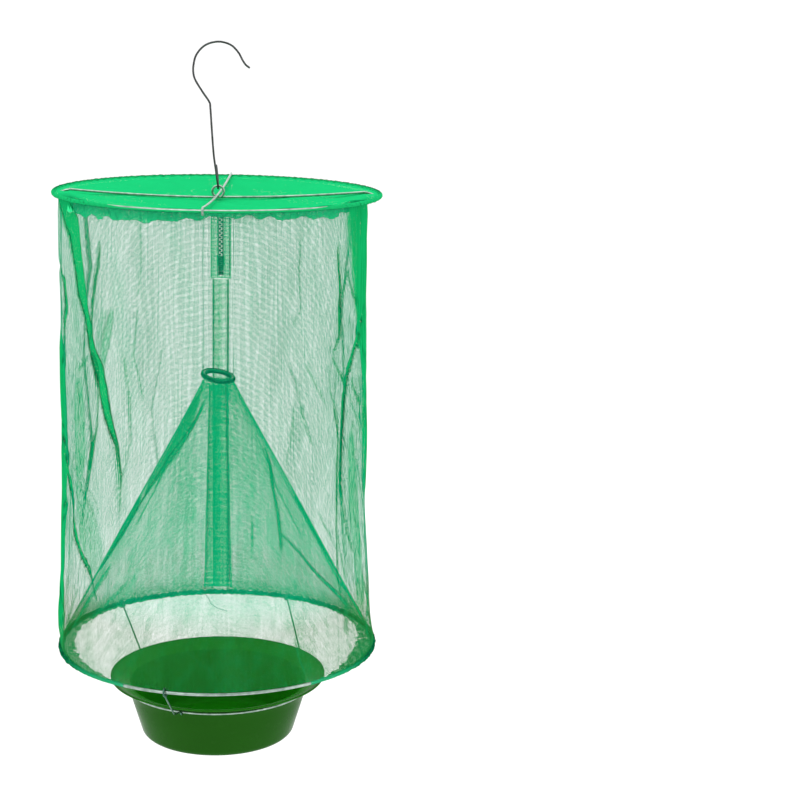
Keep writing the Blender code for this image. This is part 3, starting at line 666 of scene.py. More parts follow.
WALL_CREASES = [
    # the broad fold from the rim at the left, which crosses a second and opens below it
    (1.0, 2.0, [(-172, -14, 12), (-162, 4, 12), (-154, 18, 12.5), (-151, 34, 10), (-149, 44, 8.0),
                (-147, 60, 7.5), (-143, 78, 4.4), (-140, 95, 4.0), (-137, 107, 5.4), (-135, 121, 6.2),
                (-132.5, 136, 3.8), (-128.5, 156, 1.5), (-127, 176, 1.0), (-127, 204, 0.6)]),
    (0.9, 1.6, [(-135, 22, 0.8), (-136, 40, 1.3), (-138, 58, 1.6), (-140, 75, 1.6), (-142, 92, 1.4)]),
    (0.85, 1.2, [(-141, 95, 1.2), (-138, 108, 1.1), (-138, 130, 1.0), (-139, 145, 1.1),
                 (-142, 160, 1.8), (-145, 186, 1.1)]),
    (0.8, 1.2, [(-177, 44, 1.5), (-163, 56, 2.2), (-161, 74, 2.4), (-166, 96, 2.8), (-174, 124, 2.8)]),
    (0.7, 0.8, [(-152, 115, 0.8), (-147, 107, 1.1), (-142, 100, 0.9)]),
    (0.35, 0.8, [(-130, 66, 2.0), (-132, 82, 4.0), (-134, 98, 3.4), (-135, 112, 1.6)]),
    (0.42, 0.6, [(-117, 10, 0.6), (-117, 36, 0.7), (-119, 58, 0.6)]),
    (0.40, 0.6, [(-119, 62, 0.5), (-120, 82, 0.9), (-121, 95, 0.9), (-119, 108, 0.8), (-117, 124, 0.6)]),
    (0.35, 0.8, [(-125, 92, 1.5), (-123, 125, 1.0), (-123, 152, 1.1), (-125, 171, 0.9), (-127, 178, 0.7)]),
    # the left side, low down
    (0.9, 1.6, [(-176, 150, 2.5), (-168, 179, 2.8), (-160, 207, 2.8), (-153, 230, 2.6), (-145, 246, 1.9),
                (-141, 257, 1.3), (-137, 268, 0.9)]),
    (0.5, 0.8, [(-157, 178, 1.0), (-146, 198, 1.5), (-139, 216, 0.9)]),
    (0.4, 0.8, [(-160, 184, 1.0), (-150, 206, 1.3), (-142, 222, 0.8)]),
    (0.4, 0.8, [(-153, 176, 0.8), (-143, 194, 1.0), (-138, 206, 0.8)]),
    (0.75, 1.2, [(-166, 206, 2.0), (-173, 232, 3.5), (-174, 262, 3.0), (-167, 302, 2.0)]),
    (0.5, 0.8, [(-150, 262, 0.9), (-158, 282, 1.2), (-163, 300, 1.2)]),
    # the fold that runs down from the broad gather at the right of the rim
    (0.95, 2.4, [(-12, 70, 3.0), (-20, 90, 3.6), (-27, 101, 3.2), (-32, 112, 3.0), (-36, 128, 2.4),
                 (-36.5, 150, 2.0), (-37, 180, 1.8), (-35, 208, 1.2)]),
    (0.9, 1.6, [(-43, 22, 0.8), (-42, 40, 1.4), (-40, 58, 2.0), (-40.5, 74, 2.0), (-40, 86, 1.6),
                (-46, 99, 0.9)]),
    (0.85, 1.0, [(-46, 98, 0.8), (-40, 111, 1.2), (-36, 120, 1.4)]),
    (0.7, 1.0, [(-33, 44, 1.6), (-38, 56, 1.4), (-41, 70, 1.0)]),
    (0.7, 1.0, [(-34, 46, 1.2), (-30, 60, 1.6), (-23, 72, 1.6)]),
    (0.5, 0.8, [(-58, 101, 0.6), (-53, 116, 0.9), (-49, 130, 0.6)]),
    (0.6, 1.0, [(-47, 118, 0.7), (-43, 132, 1.1), (-40, 146, 1.0)]),
    (0.85, 1.6, [(-43, 128, 1.0), (-40, 156, 1.4), (-41, 184, 1.5), (-42, 212, 1.4), (-42, 248, 1.3),
                 (-39, 270, 1.0)]),
    (0.7, 1.0, [(-41, 170, 0.9), (-37, 196, 1.2), (-33, 220, 1.1), (-29, 240, 0.9)]),
    (0.6, 0.9, [(-42, 214, 0.8), (-39, 236, 1.1), (-35, 256, 0.9)]),
    (0.45, 0.9, [(-52, 200, 0.6), (-47, 216, 0.9), (-43, 230, 0.8)]),
    (0.45, 0.8, [(-60, 127, 0.6), (-58, 140, 0.8), (-54, 156, 0.6)]),
    (0.30, 0.8, [(-62, 126, 1.2), (-63, 146, 1.0), (-65, 168, 0.7)]),
    (0.7, 1.0, [(-30, 118, 1.2), (-20, 140, 1.8), (-12, 158, 1.2)]),
    (0.5, 0.8, [(-31, 128, 0.8), (-24, 146, 1.2), (-16, 168, 0.9)]),
    (0.5, 0.8, [(-28, 168, 0.9), (-20, 186, 1.3), (-14, 210, 1.0)]),
    (0.5, 0.8, [(-24, 226, 0.9), (-27, 246, 1.3), (-22, 268, 1.0)]),
    (0.6, 1.0, [(-20, 252, 1.2), (-13, 282, 1.8), (-18, 306, 1.6)]),
    # across the opening at the bottom, seen low in the front
    (0.55, 0.6, [(-62, 283, 0.6), (-61, 296, 0.8), (-58, 311, 0.6)]),
    (0.35, 0.4, [(-101, 288, 0.4), (-97, 296, 0.5), (-92, 303, 0.4)]),
    (0.30, 0.4, [(-113, 284, 0.4), (-110, 290, 0.5), (-108, 294, 0.4)]),
    # the back
    (0.45, 0.8, [(55, 42, 0.9), (56, 64, 1.2), (55, 95, 1.1), (59, 107, 0.8)]),
    (0.35, 0.8, [(61, 132, 1.0), (57, 150, 1.1), (54, 170, 0.9), (48, 196, 0.9)]),
    (0.6, 1.4, [(152, 10, 3.0), (148, 60, 2.0), (155, 120, 1.6), (150, 190, 2.0), (158, 260, 1.4)]),
    (0.5, 1.2, [(24, 30, 2.0), (30, 90, 1.6), (26, 150, 1.8), (32, 220, 1.5), (28, 290, 1.2)]),
    (0.35, 0.8, [(112, 120, 0.8), (118, 170, 1.0), (114, 230, 0.8)]),
]


def right_side(angle):
    """1 at the right of the trap, fading out to the front and the back."""
    return bell(wrapped(angle), 0.62, 4)


def wall_radius(angle, z):
    """Straight beside the zip, drawn in between the hoops, and flatter along its right side."""
    top_r, low_r, waist_r = 106.4 * MM, 110.0 * MM, 105.8 * MM
    flat_top, flat_less_below = 5.9 * MM, 4.2 * MM
    share = np.clip((ZIP_FOOT_Z - z) / (ZIP_FOOT_Z - WALL_LOW_Z), 0, 1)
    straight = top_r + (low_r - top_r) * share**2
    drawn_in = top_r - waist_r + (low_r - top_r) / 4
    flat = (flat_top - flat_less_below * share) * right_side(angle)
    low_fade = smooth_step(z, BASE_Z + 4 * MM, BASE_Z + 26 * MM)
    return straight - drawn_in * np.sin(math.pi * share) ** 2 - flat * low_fade


def side_wall():
    """One rectangle of net. Its two edges meet at the back, where the zip and the seam strip close
    the slot between them."""
    columns, rows = 1060, 150
    angle = np.linspace(SEAM_ANGLE, SEAM_ANGLE + TURN, columns + 1)[None, :]
    z = np.linspace(WALL_TOP_Z, WALL_EDGE_Z, rows + 1)[:, None]
    around = angle / TURN * NET_TURN + 0 * z
    down = RIM_Z - z + 0 * angle
    tall = RIM_Z - WALL_EDGE_Z
    base = wall_radius(angle, z)
    pinch, gather, shade = crease_fields(around, down, WALL_CREASES)
    at_zip = np.abs(wrapped(angle - SEAM_ANGLE)) * HOOP_R
    held_edge = 14 * MM
    free = smooth_step(down, 0, held_edge) * smooth_step(tall - down, 0, held_edge)
    free = free * smooth_step(at_zip, SLOT_HALF + 1 * MM, SLOT_HALF + held_edge)
    sway = 1.1 * MM * smooth_noise(around, down, 55 * MM, 260 * MM)
    sway += 0.7 * MM * smooth_noise(around, down, 18 * MM, 110 * MM)
    pleats = 0.26 * MM * fine_pleats(around, down, 3.4 * MM, 2.2 * MM)
    broad = crease_fields(around, down, BROAD_GATHERS)[1]
    pleats += broad * 1.1 * MM * np.sin(TURN * around / (6.5 * MM))
    gather = np.maximum(gather, broad)
    strands = smooth_step(smooth_noise(around, down, 5 * MM, 150 * MM), 0.5, 1.1)
    # painted shade: dark strands inside the broad gathers
    shade = np.maximum(shade, 0.8 * broad * strands)
    near_top, near_foot = bell(down, 9 * MM), bell(tall - down, 10 * MM)
    ruffle = 0.5 * MM * (near_top + near_foot) * np.sin(TURN * around / (5.2 * MM))
    radial = base - pinch * free + (sway + pleats) * free + ruffle
    steep = slope_gather(radial - base, NET_TURN / columns, tall / rows)
    haze = 0.10 * patches(around, down, 40 * MM, 120 * MM)
    right, left = np.cos(angle), -np.cos(angle)
    at_edges = np.maximum(smooth_step(right, 0.62, 0.9), smooth_step(left, 0.72, 0.95))
    crinkle = smooth_step(smooth_noise(around, down, 4 * MM, 11 * MM, waves=9), 0.25, 1.0)
    crinkle = crinkle * at_edges * smooth_step(down, 40 * MM, 110 * MM)
    haze = haze + 0.32 * crinkle + 0.05 * at_edges
    # painted shade in the crinkles near the sides
    shade = np.maximum(shade, 0.45 * crinkle)
    sides = smooth_step(-np.sin(angle), 0.85, 0.2)
    upper = 0.05 + 0.03 * smooth_step(right, -0.2, 0.5)
    upper = upper * smooth_step(tall - down, 45 * MM, 110 * MM)
    closed = gather + 0.35 * steep + haze + upper + 0.25 * sides * near_foot + 0.15 * near_top
    cell_from_zip = np.maximum(at_zip[0, :-1], at_zip[0, 1:])
    kept = np.ones((rows, columns), bool)
    kept[np.ix_(z[1:, 0] > ZIP_FOOT_Z, cell_from_zip < SLOT_HALF)] = False
    kept[:, cell_from_zip < UNDER_STRIP] = False
    points = around_axis(radial, angle, z)
    wall = sheet_object("wall_net", points, stacked(around, down), WALL_NET, closed, shade, kept)
    return stand_for(wall, "side_wall_net")


FUNNEL_CREASES = [
    # degrees, millimetres above the lower hoop, half width: the folds along both outlines
    (0.85, 1.2, [(174, 20, 1.6), (174, 60, 1.8), (174, 110, 2.0), (174, 150, 2.2), (174, 183, 2.2)]),
    (0.85, 1.2, [(-122, 178, 0.9), (-139, 154, 1.2), (-157, 135, 1.5), (-168, 107, 1.8), (-174, 80, 2.0),
                 (-183, 46, 2.2)]),
    (0.80, 0.2, [(-140, 178, 4.5), (-150, 160, 6.5), (-158, 140, 6.5), (-166, 122, 5.0), (-172, 110, 3.0)]),
    (0.85, 0.2, [(-172, 108, 2.0), (-173, 99, 5.5), (-174, 88, 8.0), (-177, 76, 7.0), (-184, 60, 5.0),
                 (-184, 40, 5.0), (-184, 22, 4.0)]),
    (0.50, 0.2, [(-160, 62, 3.0), (-166, 46, 6.0), (-168, 30, 7.0), (-170, 16, 6.0)]),
    (0.85, 0.2, [(-3, 112, 1.5), (-2, 90, 3.5), (-1, 70, 4.5), (-1, 50, 5.0), (-1, 30, 6.0), (-1, 14, 6.0)]),
    (0.85, 1.0, [(7, 20, 1.6), (7, 60, 1.5), (6, 110, 1.3), (6, 150, 1.2), (6, 183, 1.2)]),
    (0.55, 0.8, [(-12, 118, 1.0), (-6, 96, 4.0), (-6, 72, 5.0), (-9, 48, 3.0), (0, 30, 2.0)]),
    (0.75, 0.8, [(-15, 146, 0.8), (-37, 119, 1.3), (-46, 96, 1.5), (-52, 78, 1.0)]),
    (0.75, 0.8, [(-48, 93, 0.8), (-36, 75, 1.2), (-28, 56, 1.6), (-21, 43, 2.2), (-14, 30, 3.0)]),
    (0.5, 0.6, [(-65, 106, 0.8), (-68, 92, 1.1), (-71, 78, 0.8)]),
    (0.4, 0.6, [(-140, 60, 1.4), (-148, 44, 2.2), (-156, 28, 2.6)]),
    (0.4, 0.6, [(-30, 20, 2.0), (-22, 30, 2.6), (-12, 36, 2.6)]),
    (0.45, 0.6, [(150, 150, 1.0), (142, 110, 1.4), (146, 70, 1.2)]),
    (0.45, 0.6, [(35, 140, 1.0), (42, 100, 1.4), (38, 60, 1.2)]),
]


def funnel_radius(z):
    share = (z - FUNNEL_LOW_Z) / (FUNNEL_TOP_Z - FUNNEL_LOW_Z)
    return FUNNEL_FOOT_R + (FUNNEL_TOP_R - FUNNEL_FOOT_R) * share


def on_cone(point):
    """A crease's point with its width made true on the cone, whose way round shrinks upwards."""
    degrees, height, width = point
    here = max(float(funnel_radius(BASE_Z + height * MM)), 20 * MM)
    return degrees, height, width * NET_TURN / TURN / here


def funnel():
    """A net cone on the lower hoop, gathered at its narrow end."""
    columns, rows = 720, 120
    angle = np.linspace(SEAM_ANGLE, SEAM_ANGLE + TURN, columns + 1)[None, :]
    z = np.linspace(CONE_TOP_Z, BASE_Z + HOOP_WIRE_R + 0.6 * MM, rows + 1)[:, None]
    up = z - BASE_Z + 0 * angle
    radius = np.maximum(funnel_radius(z), TIP_R + 0.4 * MM) + 0 * angle
    turned = angle / TURN * NET_TURN + 0 * z
    creases = [
        (strength, pinch, [on_cone(point) for point in points])
        for strength, pinch, points in FUNNEL_CREASES
    ]
    pinch, gather, shade = crease_fields(turned, up, creases)
    free = smooth_step(up, 0, 16 * MM) * smooth_step(z, CONE_TOP_Z, CONE_TOP_Z - 25 * MM)
    share = smooth_step(up, 0, 170 * MM)
    sway = 1.0 * MM * smooth_noise(turned, up, 70 * MM, 200 * MM) * (1 - 0.7 * share)
    pleats = 0.22 * MM * np.sin(angle * 190 + 2 * smooth_noise(turned, up, 80 * MM, 60 * MM))
    near_tip = bell(CONE_TOP_Z - z, 16 * MM)
    ruffle = 0.5 * MM * (near_tip * np.sin(24 * angle) + bell(up, 10 * MM) * np.sin(118 * angle))
    radial = radius - (pinch - sway - pleats) * free + ruffle
    haze = 0.12 * patches(turned, up, 50 * MM, 90 * MM)
    haze += 0.10 * patches(turned, up, 16 * MM, 18 * MM)
    haze += 0.07 * smooth_step(np.cos(angle), -0.2, 0.9)
    behind = smooth_step(np.sin(angle), -0.2, 0.5)
    closed = gather + haze + 0.30 * near_tip + 0.25 * behind * bell(up, 9 * MM)
    weave = stacked(angle * radius, np.hypot(up, FUNNEL_FOOT_R - radius))
    points = around_axis(radial, angle, z)
    made = sheet_object("funnel_cone_net", points, weave, LIT_FUNNEL_NET, closed, shade)
    return stand_for(made, "funnel_net")


def top_cover():
    """A disc of close net that sags a little under the crossed wires."""
    rings, columns = 110, 360
    rim_r = HOOP_R - 0.2 * MM
    share = np.linspace(0, 1, rings + 1)[:, None] * 0.996 + 0.004
    angle = np.linspace(0, TURN, columns + 1)[None, :]
    x, y = rim_r * share * np.cos(angle), rim_r * share * np.sin(angle)
    sag = 5.9 * MM * (1 - share**2)
    free = smooth_step(1 - share, 0, 0.12)
    wander = 2.2 * smooth_noise(x, y, 60 * MM, 60 * MM)
    crumple = 0.45 * MM * np.sin(TURN * y / (4.6 * MM) + wander)
    sway = 0.7 * MM * smooth_noise(x, y, 60 * MM, 45 * MM)
    edge_ruffle = 0.25 * MM * (1 - free) * np.sin(96 * angle)
    z = RIM_Z + 0.7 * MM - 0.4 * MM * share**8 - sag + (crumple + sway) * free + edge_ruffle
    cross = bell(np.minimum(np.abs(x), np.abs(y - 2 * MM)), 1.6 * MM)
    closed = 0.25 * cross + 0.35 * (1 - smooth_step(1 - share, 0, 0.05))
    closed = closed + 0.1 * smooth_noise(x, y, 30 * MM, 30 * MM)
    # painted shade: a dark band along the front of the edge, beside the bare wire
    shade = 0.9 * smooth_step(share, 0.87, 0.94) * smooth_step(-np.sin(angle), 0.05, 0.5)
    cover = sheet_object("cover_net", stacked(x, y, z), stacked(x, y), COVER_NET, closed, shade)
    stand_for(cover, "top_cover_net")


def top_hem():
    """The nets' turned-in edge, which hangs ragged inside the rim."""
    columns, rows = 620, 12
    half = (SLOT_HALF + 1.2 * MM) / HOOP_R
    angle = np.linspace(SEAM_ANGLE + half, SEAM_ANGLE + TURN - half, columns + 1)[None, :]
    around = angle * 105 * MM
    share = np.linspace(0, 1, rows + 1)[:, None]
    hangs = (  # (degrees round from the right, millimetres down)
        (-180, 8.0), (-165, 8.5), (-150, 8.0), (-120, 7.5), (-104, 6.0), (-92, 2.8), (-78, 3.2),
        (-62, 5.0), (-50, 5.5), (-42, 7.0), (-36, 3.0), (-28, 8.0), (0, 8.0), (180, 8.0),
    )
    ragged = MM * np.interp(np.degrees(wrapped(angle)), *zip(*hangs))
    for height, size in ((0.8, 34), (1.7, 13), (0.35, 3.2)):
        ragged += height * MM * line_noise(around, size * MM)
    ragged = np.clip(ragged, 1.5 * MM, 10.5 * MM)
    z = RIM_Z - 1.2 * MM - ragged * share
    frill = 0.45 * MM * np.sin(around / (0.95 * MM) + 4 * share)
    radial = 105.2 * MM - 6.6 * MM * right_side(angle) - 0.5 * MM * share + frill * share
    closed = 0.45 + 0.5 * patches(around, z, 22 * MM, 30 * MM) - 0.1 * share
    strands = smooth_noise(around, share * 8 * MM, 6 * MM, 9 * MM)
    # painted shade: dark strands, and a painted shadow along the top, under the rim
    shade = np.maximum(0.5 * smooth_step(strands, 0.5, 1.1), 0.8 * smooth_step(share, 0.25, 0.0))
    points = around_axis(radial, angle, z)
    weave = stacked(around, ragged * share)
    hem = sheet_object("top_hem_ruffle", points, weave, LIT_TOP_HEM_NET, closed, shade)
    stand_for(hem, "top_hem_band")
    thickness = 0.6 + 0.5 * np.clip(line_noise(around[0], 14 * MM), -1, 1)
    # a thread along the hem's lower edge, coloured as a painted highlight
    edge = tube("top_hem_edge_highlight", points[-1], 0.22 * MM, EDGE_HIGHLIGHT_THREAD, sides=6, squeeze=thickness)
    return [hem, join_body(edge, "top_frame")]


def rim_binding():
    """Net bound over the rim's hoop. Over the front it is rolled under, which leaves the top of the
    wire bare."""
    angle = np.linspace(0, TURN, 1081)[None, :]
    along = angle * HOOP_R
    bare = smooth_step(-np.sin(angle), 0.62, 0.86)
    first = np.radians(-235 + 45 * bare)
    last = np.radians(165 - 150 * bare)
    turns = first + (last - first) * np.linspace(0, 1, 19)[:, None]
    lumps = 0.5 + 0.5 * line_noise(along, 9 * MM)
    pucker = 0.10 * MM * np.sin(150 * angle + 2 * turns) + 0.06 * MM * np.sin(331 * angle)
    section = HOOP_WIRE_R + 0.22 * MM + pucker + (1 - bare) * (0.05 + 0.25 * lumps) * MM
    points = around_axis(HOOP_R + section * np.cos(turns), angle, RIM_Z + section * np.sin(turns))
    # painted shade: under the wire, along the top of the binding over the back, and in its creases
    under = smooth_step(-np.sin(turns + 0.5), 0.1, 0.8)
    over = smooth_step(np.cos(turns - 1.7), 0.7, 0.95) * smooth_step(np.sin(angle), -0.25, 0.15)
    strands = smooth_noise(along, 4 * turns * section, 3.5 * MM, 5 * MM)
    creased = 0.75 * smooth_step(strands, 0.15, 1.1) * (1 - bare)
    shade = np.maximum(np.maximum(under, 0.85 * over), creased)
    weave = stacked(along, turns * section)
    binding = sheet_object("rim_edge_binding", points, weave, RIM_BINDING, 1.0, shade)
    return join_body(binding, "top_frame")


def bottom_hem():
    """Net bound round the lower hoop: thin over the front, bunched at the sides and the back."""
    columns, around_steps = 1080, 14
    angle = np.linspace(0, TURN, columns + 1)[None, :]
    turns = np.linspace(math.radians(-100), math.radians(215), around_steps + 1)[:, None]
    back = np.sin(angle)
    bunched = smooth_step(back, -0.88, -0.25) * (1 - 0.2 * smooth_step(back, 0.2, 0.9))
    along = angle * HOOP_R
    lumps = 0.5 + 0.5 * line_noise(along, 12 * MM)
    pucker = np.sin(along / (0.8 * MM) + 3 * lumps + 1.5 * turns)
    pucker = (0.03 * MM + 0.25 * MM * bunched) * pucker
    section = HOOP_WIRE_R + 0.12 * MM + bunched * (0.50 + 0.6 * lumps) * MM + pucker
    points = around_axis(HOOP_R + section * np.cos(turns), angle, BASE_Z + section * np.sin(turns))
    strands = np.sin(along / (3.1 * MM) + 5 * lumps - 4 * turns)
    strands = strands + 0.7 * np.sin(along / (1.9 * MM) + 6 * turns)
    closed = bunched * (0.6 + 0.4 * lumps)
    # painted shade where the hem is bunched, darker along its strands
    shade = bunched * (0.68 + 0.32 * smooth_step(strands, -0.3, 0.6))
    kept = np.broadcast_to(bunched[:, 1:] > 0.02, (around_steps, columns))
    weave = stacked(along, turns * section)
    hem = sheet_object("lower_hem_binding", points, weave, LOW_HEM_NET, closed, shade, kept)
    return stand_for(hem, "bottom_hem")


def hem_frill():
    """The nets' raw edge, which lies inside the lower hoop, wide at the sides and frayed."""
    columns, rows = 900, 10
    angle = np.linspace(0, TURN, columns + 1)[None, :]
    along = angle * HOOP_R
    share = np.linspace(0, 1, rows + 1)[:, None]
    left = bell(wrapped(angle - 0.25 - math.pi), 0.75)
    right = bell(wrapped(angle + 0.25), 0.55)
    ragged = line_noise(along, 16 * MM) + 0.7 * line_noise(along, 5 * MM)
    width = 0.6 + 8.0 * left + 11.0 * right + 1.3 * (left + right) * ragged
    width = np.clip(width, 0.4, 16) * MM
    radial = HOOP_R - 1.2 * MM - width * share
    waves = 0.6 * MM * share * np.sin(along / (1.3 * MM) + 2 * ragged)
    z = BASE_Z + 0.4 * MM - 1.6 * MM * share + waves
    strands = smooth_noise(along + 6 * MM * share, width * share, 9 * MM, 2.4 * MM)
    closed = 0.35 * np.clip(ragged, 0, 1) + 0.25 * (1 - share)
    closed = (closed + 0.6 * smooth_step(strands, -0.1, 0.7)) * (1 - 0.7 * left)
    # painted shade along the strands
    shade = (0.8 - 0.3 * left) * smooth_step(strands, 0.1, 0.9)
    points = around_axis(radial, angle, z)
    weave = stacked(along, width * share)
    frill = sheet_object("lower_hem_frill", points, weave, LOW_HEM_NET, closed, shade)
    return join_body(frill, "bottom_frame")


# Seams, the zip and the ties

STITCH_PITCH = 2.4 * MM
LEFT_STITCH_R = 0.2 * MM


def seam_strip(name, levels, middle_angle, radius_at, half_at):
    """A band of doubled net whose two edges are rolled."""
    across = np.linspace(-1, 1, 21)[None, :]
    z = levels[:, None]
    radius = radius_at(z)
    place = across * half_at(z)
    crinkle = 0.15 * MM * smooth_noise(place, z, 4 * MM, 16 * MM)
    rolled = 0.5 * MM * bell(np.abs(across) - 0.93, 0.08)
    points = around_axis(radius + rolled + crinkle, middle_angle - place / radius, z)
    folded = 0.55 * (np.abs(across) > 0.82) + 0.25 * (across < 0)
    folded = folded + 0.12 * smooth_noise(place, z, 6 * MM, 14 * MM)
    # painted shade along the rolled edges
    shade = 0.8 * bell(np.abs(across) - 0.84, 0.05)
    strip = sheet_object(f"{name}_strip", points, stacked(place, z), SEAM_NET, folded, shade)
    return stand_for(strip, f"{name}_band")


def strip_stitches(name, body, low, high, middle_angle, radius_at, turn_at, right_stitch_r):
    """A row of stitches at each side of a strip, turn_at round from its middle."""
    rows = []
    for side, side_name, stitch_r in ((1, "left", LEFT_STITCH_R), (-1, "right", right_stitch_r)):

        def place(z, side=side):
            out = outward(middle_angle + side * turn_at(z))
            return out * float(radius_at(z)) + UP * z, out

        row = stitch_line(
            f"{name}_stitches_{side_name}", low, high, place,
            0.62 * STITCH_PITCH, 0.38 * STITCH_PITCH, stitch_r,
        )
        rows.append(join_body(row, body))
    return rows


def back_seam():
    half, stitches_from_middle = 6.2 * MM, 5.2 * MM
    low, high = low_and_high("back_seam_band")

    def radius_at(z):
        return wall_radius(SEAM_ANGLE, z) + 0.9 * MM

    levels = np.linspace(high, low, 160)
    strip = seam_strip("back_seam", levels, SEAM_ANGLE, radius_at, lambda z: half)
    stitches = strip_stitches(
        "back_seam", "top_frame", low + 2 * MM, high - 1 * MM, SEAM_ANGLE,
        lambda z: radius_at(z) + 0.4 * MM, lambda z: stitches_from_middle / HOOP_R, 0.42 * MM,
    )
    return [strip, *stitches]


def funnel_seam():
    low, high = low_and_high("funnel_seam_band")

    def radius_at(z):
        return funnel_radius(z) - 1.0 * MM

    def half_at(z):
        return 6.5 * MM + 4.0 * MM * (high - z) / (high - low)

    levels = np.linspace(high, low - 2.5 * MM, 120)
    strip = seam_strip("funnel_seam", levels, math.pi / 2, radius_at, half_at)
    stitches = strip_stitches(
        "funnel_seam", "bottom_frame", low + 2 * MM, high - 2 * MM, math.pi / 2,
        lambda z: radius_at(z) - 0.5 * MM, lambda z: 0.86 * half_at(z) / radius_at(z), 0.38 * MM,
    )
    return [strip, *stitches]


def zip_tapes():
    """Woven tapes, each with a row of stitches near its outer edge."""
    pieces = []
    chain_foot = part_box("zip_bottom_stop")[0].z - 0.2 * MM
    for side, name, stitch_r in ((-1, "left", 0.2 * MM), (1, "right", 0.42 * MM)):
        low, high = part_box(f"zip_tape_{name}")
        inner_x, outer_x = (low.x, high.x) if side > 0 else (high.x, low.x)
        y = (low.y + high.y) / 2
        z = np.linspace(high.z, low.z, 90)[:, None]
        share = np.linspace(0, 1, 13)[None, :]
        meet = smooth_step(z, chain_foot + 0.6 * MM, chain_foot - 0.6 * MM)
        inner = (inner_x - 0.25 * side * MM) * (1 - meet) + (ZIP_X + side * 0.1 * MM) * meet
        left_x, right_x = (inner, outer_x) if side > 0 else (outer_x, inner)
        across = left_x + (right_x - left_x) * share
        from_edge = np.minimum(share, 1 - share)
        wave = 0.18 * MM * smooth_noise(across, z, 9 * MM, 18 * MM)
        rolled = 0.25 * MM * bell(from_edge, 0.07)
        points = stacked(across, y + wave + rolled, z)
        closed = 0.35 * (from_edge < 0.1) + 0.2
        weave = stacked(across, z)
        tape = sheet_object(f"zip_tape_cloth_{name}", points, weave, ZIP_TAPE, closed)
        stand_for(tape, f"zip_tape_{name}")
        row_x, row_y = outer_x - side * 1.1 * MM, y + 0.3 * MM

        def place(level, x=row_x, y=row_y):
            return Vector((x, y, level)), Vector((0, 1, 0))

        row = stitch_line(
            f"zip_stitches_{name}", low.z + 1 * MM, high.z, place, 1.5 * MM, 0.9 * MM, stitch_r
        )
        pieces += [tape, join_body(row, "top_frame")]
    return pieces


def zip_parts():
    """The teeth, stops, slider and pull keep the model's shapes and get their own looks."""
    looks = {
        "zip_chain_left": ZIP_TEETH, "zip_chain_right": ZIP_TEETH, "zip_slider": ZIP_SLIDER,
        "zip_top_stop_left": ZIP_LACQUER, "zip_top_stop_right": ZIP_LACQUER,
        "zip_bottom_stop": ZIP_LACQUER, "zip_pull_tab": ZIP_LACQUER,
    }
    for node, look in looks.items():
        materials = frame["nodes"][node].data.materials
        materials.clear()
        materials.append(look)


def funnel_tip():
    """A wire ring bound in net, with a few frayed thread ends, all tilted with the mouth."""
    ring = tube("funnel_tip_wire", ring_route(TIP_R, 0, 90), TIP_WIRE_R, HOOP_WIRE, closed=True)
    angle = np.linspace(0, TURN, 361)[None, :]
    turns = np.linspace(math.radians(-240), math.radians(75), 15)[:, None]
    pucker = 0.20 * MM * np.sin(46 * angle + 2 * turns) + 0.12 * MM * np.sin(101 * angle)
    section = TIP_WIRE_R + 0.55 * MM + pucker
    points = around_axis(TIP_R + section * np.cos(turns), angle, section * np.sin(turns))
    closed = 0.75 + 0.2 * np.sin(31 * angle)
    # painted shade: dark bands round the binding's section
    shade = smooth_step(np.sin(2 * turns + 1.2 + 0.5 * np.sin(3 * angle)), 0.0, 0.8)
    weave = stacked(angle * TIP_R, turns * section)
    hem = sheet_object("funnel_tip_binding", points, weave, LOW_HEM_NET, closed, shade)
    ends = []
    for degrees, height in ((172, 6.0), (25, 4.0), (-35, 3.2), (95, 3.0)):
        out = outward(math.radians(degrees))
        foot = out * TIP_R + UP * 1.4 * MM
        lean = out * 1.8 * MM + UP * height * MM
        route = smooth_route([foot, foot + lean * 0.5, foot + lean], 1 * MM)
        ends.append(tube("end", route, 0.16 * MM, STITCHES, sides=6))
    frayed = joined("funnel_tip_thread_ends", ends)
    leaning = Matrix.Rotation(TIP_TILT, 4, "Y") @ Matrix.Rotation(TIP_LEAN, 4, "X")
    for piece in (ring, hem, frayed):
        piece.data.transform(Matrix.Translation((0, 0, TIP_Z)) @ leaning)
    stand_for(ring, "funnel_tip_ring")
    stand_for(hem, "funnel_tip_hem")
    join_body(frayed, "funnel_tip")


def funnel_ties():
    """Two fine threads hold the funnel's tip up from the cover."""
    ties = []
    for name, side in (("left", -1), ("right", 1)):
        node = f"funnel_tie_{name}"
        low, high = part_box(node)
        route = []
        for step in range(61):
            share = step / 60
            wave = 0.25 * MM * math.sin(9 * share + side)
            z = low.z + (high.z - low.z) * share
            route.append(((low.x + high.x) / 2 + wave, wave * 0.7, z))
        tie = tube(f"funnel_thread_{name}", route, 0.17 * MM, TIE_THREAD, sides=8)
        ties.append(stand_for(tie, node))
    return ties


# The hangers and the bowl

HANGER_WIRE_R = 0.6 * MM
HANGER_ANGLES = {"front": (-109.0, -112.0), "left": (130.5, 136.0), "right": (61.0, 40.0)}
HEM_OUTER_R = 1.85 * MM


